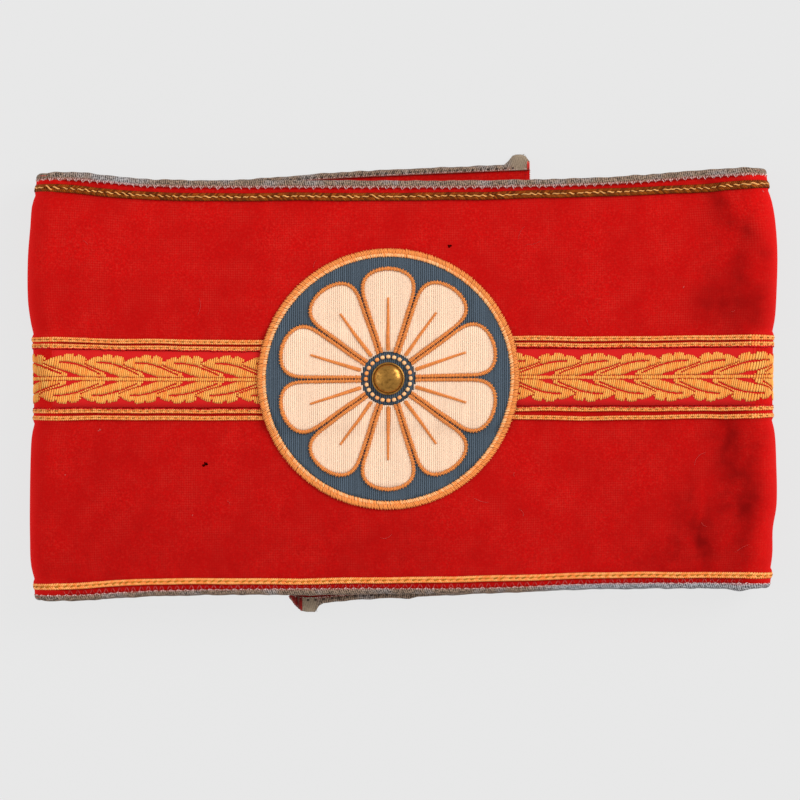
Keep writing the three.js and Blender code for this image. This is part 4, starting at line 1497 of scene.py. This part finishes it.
class ARMBAND_OT_stitches(bpy.types.Operator):
    """Sews the junctions, crosses, couching, zigzag, selvedges, overlock and seams, and paints shade as
    dashes in the cords' needle holes and plait grooves.
    """

    bl_idname = "armband.stitches"
    bl_label = "Stitches"

    def execute(self, context):
        rng = np.random.default_rng(51)
        junctions(rng, context.scene.armband_sizes.stitch / MM)
        for sew in (crosses, couching, needle_marks, zigzag, selvedges, end_overlock, seams):
            sew(rng)
        return {"FINISHED"}


# Lint and frayed ends

DARK_SPECKS = table("x across size", (-50.2, -21.8, 0.7), (12.2, 34.0, 0.5))
PALE_SPECKS = table(
    "x across size",
    (-78.2, -12.9, 0.45),
    (-86.8, -23.8, 0.2),
    (-53.6, -34.6, 0.2),
    (72.0, 22.4, 0.25),
    (94.0, 45.0, 0.25),
)
# The least and the most that a hair of lint draws: where it starts, which way it heads, how far it
# curls and how long it is.
HAIR = Row(x=(-86, 86), across=(-48, 44), heading=(0, 2 * math.pi), curl=(-1.6, 1.6), size=(1.0, 5.0))
FRAYS = 34  # at each worn end
FRAY_LEAN = 0.35
FRAY_REACH = 0.4, 1.05
FRAY_ROOT = 0.9  # how far inside the tape's edge a frayed fibre starts


def hairs(rng, count):
    drawn = (rng.uniform(low, high, count)[:, None] for low, high in vars(HAIR).values())
    x, across, heading, curl, size = drawn
    share = np.linspace(0, 1, 7)
    turn = heading + curl * share
    along = on_front(x) + np.cumsum(np.cos(turn), 1) * size / 6
    over = across + np.cumsum(np.sin(turn), 1) * size / 6
    clear = np.abs(over).min(1) > BRAID_EDGE + 1
    clear &= np.hypot(along - PATCH_AT, over).min(1) > PATCH_RADIUS + 1
    paths = coords_at(along, over, WOOL_FACE + 0.04 + 0.1 * np.sin(math.pi * share))
    threads("lint_hairs", "lint", [paths[clear]], 0.028, 0.03)


def specks(name, yarn, spots, thick):
    rng = np.random.default_rng(62)
    share = np.linspace(0, 1, 5)
    parts = []
    for spot in spots:
        for _ in range(5):
            turn = rng.uniform(0, 2 * math.pi)
            along = on_front(spot.x) + rng.normal(0, 0.12 * spot.size) + spot.size * share * math.cos(turn)
            over = spot.across + rng.normal(0, 0.12 * spot.size) + spot.size * share * math.sin(turn)
            parts.append(coords_at(along, over, WOOL_FACE + 0.06)[None])
    threads(name, yarn, parts, thick, 0.1)


def frays(rng):
    parts = []
    share = np.linspace(0, 1, 6)
    for binding in BINDINGS:
        start = binding.worn_at + binding.inward * rng.uniform(0.1, binding.lobe.length - 0.6, (FRAYS, 1))
        lean = rng.normal(0, FRAY_LEAN, (FRAYS, 1))
        reach = rng.uniform(*FRAY_REACH, (FRAYS, 1))
        along = np.clip(start + lean * share**2, 0.05, STRIP_END - 0.05)
        over = tape_edge(binding, start)[0] + binding.side * (reach * share - FRAY_ROOT)
        out = rng.uniform(-0.7, 0.7, (FRAYS, 1)) + rng.normal(0, FRAY_LEAN, (FRAYS, 1)) * share
        parts.append(coords_at(along, over, np.clip(out, -1.2, 1.2)))
    threads("frayed_fibres", "frayed cotton", parts, 0.05, 0.05)


class ARMBAND_OT_lint(bpy.types.Operator):
    """Scatters lint hairs and specks on the front, and fibres at the frayed tape ends."""

    bl_idname = "armband.lint"
    bl_label = "Lint and frayed ends"

    def execute(self, context):
        rng = np.random.default_rng(61)
        hairs(rng, context.scene.armband_sizes.lint)
        specks("dark_specks", "dark speck", DARK_SPECKS, 0.22)
        specks("pale_specks", "pale speck", PALE_SPECKS, 0.07)
        frays(rng)
        return {"FINISHED"}


class ARMBAND_OT_declare(bpy.types.Operator):
    """Does nothing when run."""

    bl_idname = "armband.declare"
    bl_label = "Cloth pieces"

    def execute(self, context):
        return {"FINISHED"}


# The stage

# The camera looks straight down on this point of the strip's own millimetres.
LENS = 200
SENSOR = 36
PICTURE_WIDTH = 204.6
PICTURE_X = -0.48
PICTURE_Y = -5.34
FRONT_Z = 13.5

# Soft lamps: place and size in metres, and power in watts. The key stands to the right, low enough
# for the cloth's shapes to show.
LAMPS = table(
    "name at size power",
    ("key", (2.4, 1.35, 1.8), 1.8, 80.0),
    ("fill", (-2.4, 0.4, 1.9), 2.4, 23.6),
)
SKY = 0.66
FLOOR_HALF = 2.5
FLOOR_GLOW = 0.95  # how much of the floor's light comes from below
FLOOR_SHARE = 0.06  # and how much of its own colour the lamps light up


def lay_floor(colour):
    # A pale diffusing sheet lit from below as well, so that it stays even and shadows stay faint.
    material, shader, _ = new_material("diffusing acrylic")
    looks = {
        "Base Color": shade(colour, FLOOR_SHARE),
        "Emission Color": shade(colour),
        "Emission Strength": FLOOR_GLOW,
        "Roughness": 0.95,
        "Specular IOR Level": 0.0,
    }
    fill(shader, looks)
    mesh = bpy.data.meshes.new("floor")
    corners = [(FLOOR_HALF * x, FLOOR_HALF * y, 0) for x, y in ((-1, -1), (1, -1), (1, 1), (-1, 1))]
    mesh.from_pydata(corners, [], [(0, 1, 2, 3)])
    mesh.materials.append(material)
    add_object("floor", mesh)


def hang_lamps(scene):
    world = bpy.data.worlds.new("studio")
    world.use_nodes = True
    fill(world.node_tree.nodes["Background"], {"Color": (1, 1, 1, 1), "Strength": SKY})
    scene.world = world
    for row in LAMPS:
        data = bpy.data.lights.new(row.name, "AREA")
        data.size = row.size
        data.energy = row.power
        lamp = add_object(row.name, data)
        lamp.location = row.at
        lamp.rotation_euler = (-lamp.location).to_track_quat("-Z", "Y").to_euler()


def set_camera(scene):
    data = bpy.data.cameras.new("camera")
    data.lens = LENS
    data.sensor_width = SENSOR
    data.clip_end = 10
    scene.camera = add_object("camera", data)
    distance = PICTURE_WIDTH * LENS / SENSOR
    scene.camera.location = (np.array([PICTURE_X, PICTURE_Y, FRONT_Z + distance]) + SHIFT) * MM
    scene.view_settings.view_transform = "Standard"


class ARMBAND_OT_stage(bpy.types.Operator):
    """Sets the pale floor, the soft lamps and the camera above."""

    bl_idname = "armband.stage"
    bl_label = "Stage"

    def execute(self, context):
        lay_floor(context.scene.armband_colours.floor)
        hang_lamps(context.scene)
        set_camera(context.scene)
        return {"FINISHED"}


OPERATORS = [
    ARMBAND_OT_wool,
    ARMBAND_OT_bindings,
    ARMBAND_OT_cords,
    ARMBAND_OT_braid,
    ARMBAND_OT_patch,
    ARMBAND_OT_stud,
    ARMBAND_OT_stitches,
    ARMBAND_OT_lint,
    ARMBAND_OT_declare,
    ARMBAND_OT_stage,
]


class ARMBAND_PT_panel(bpy.types.Panel):
    """Lists the armband's pieces, sizes and colours in the sidebar."""

    bl_idname = "ARMBAND_PT_panel"
    bl_label = "Armband"
    bl_space_type = "VIEW_3D"
    bl_region_type = "UI"
    bl_category = "Armband"

    def draw(self, context):
        for operator in OPERATORS:
            self.layout.operator(operator.bl_idname)
        for group in (context.scene.armband_sizes, context.scene.armband_colours):
            box = self.layout.box()
            for key in group.bl_rna.properties.keys():
                if key not in ("rna_type", "name"):
                    box.prop(group, key)


CLASSES = [ArmbandSizes, ArmbandColours, *OPERATORS, ARMBAND_PT_panel]


def register():
    for one in CLASSES:
        bpy.utils.register_class(one)
    bpy.types.Scene.armband_sizes = PointerProperty(type=ArmbandSizes)
    bpy.types.Scene.armband_colours = PointerProperty(type=ArmbandColours)


def unregister():
    del bpy.types.Scene.armband_colours
    del bpy.types.Scene.armband_sizes
    for one in reversed(CLASSES):
        bpy.utils.unregister_class(one)


def main():
    register()
    for operator in OPERATORS:
        family, name = operator.bl_idname.split(".")
        getattr(getattr(bpy.ops, family), name)()


if __name__ == "__main__":
    main()
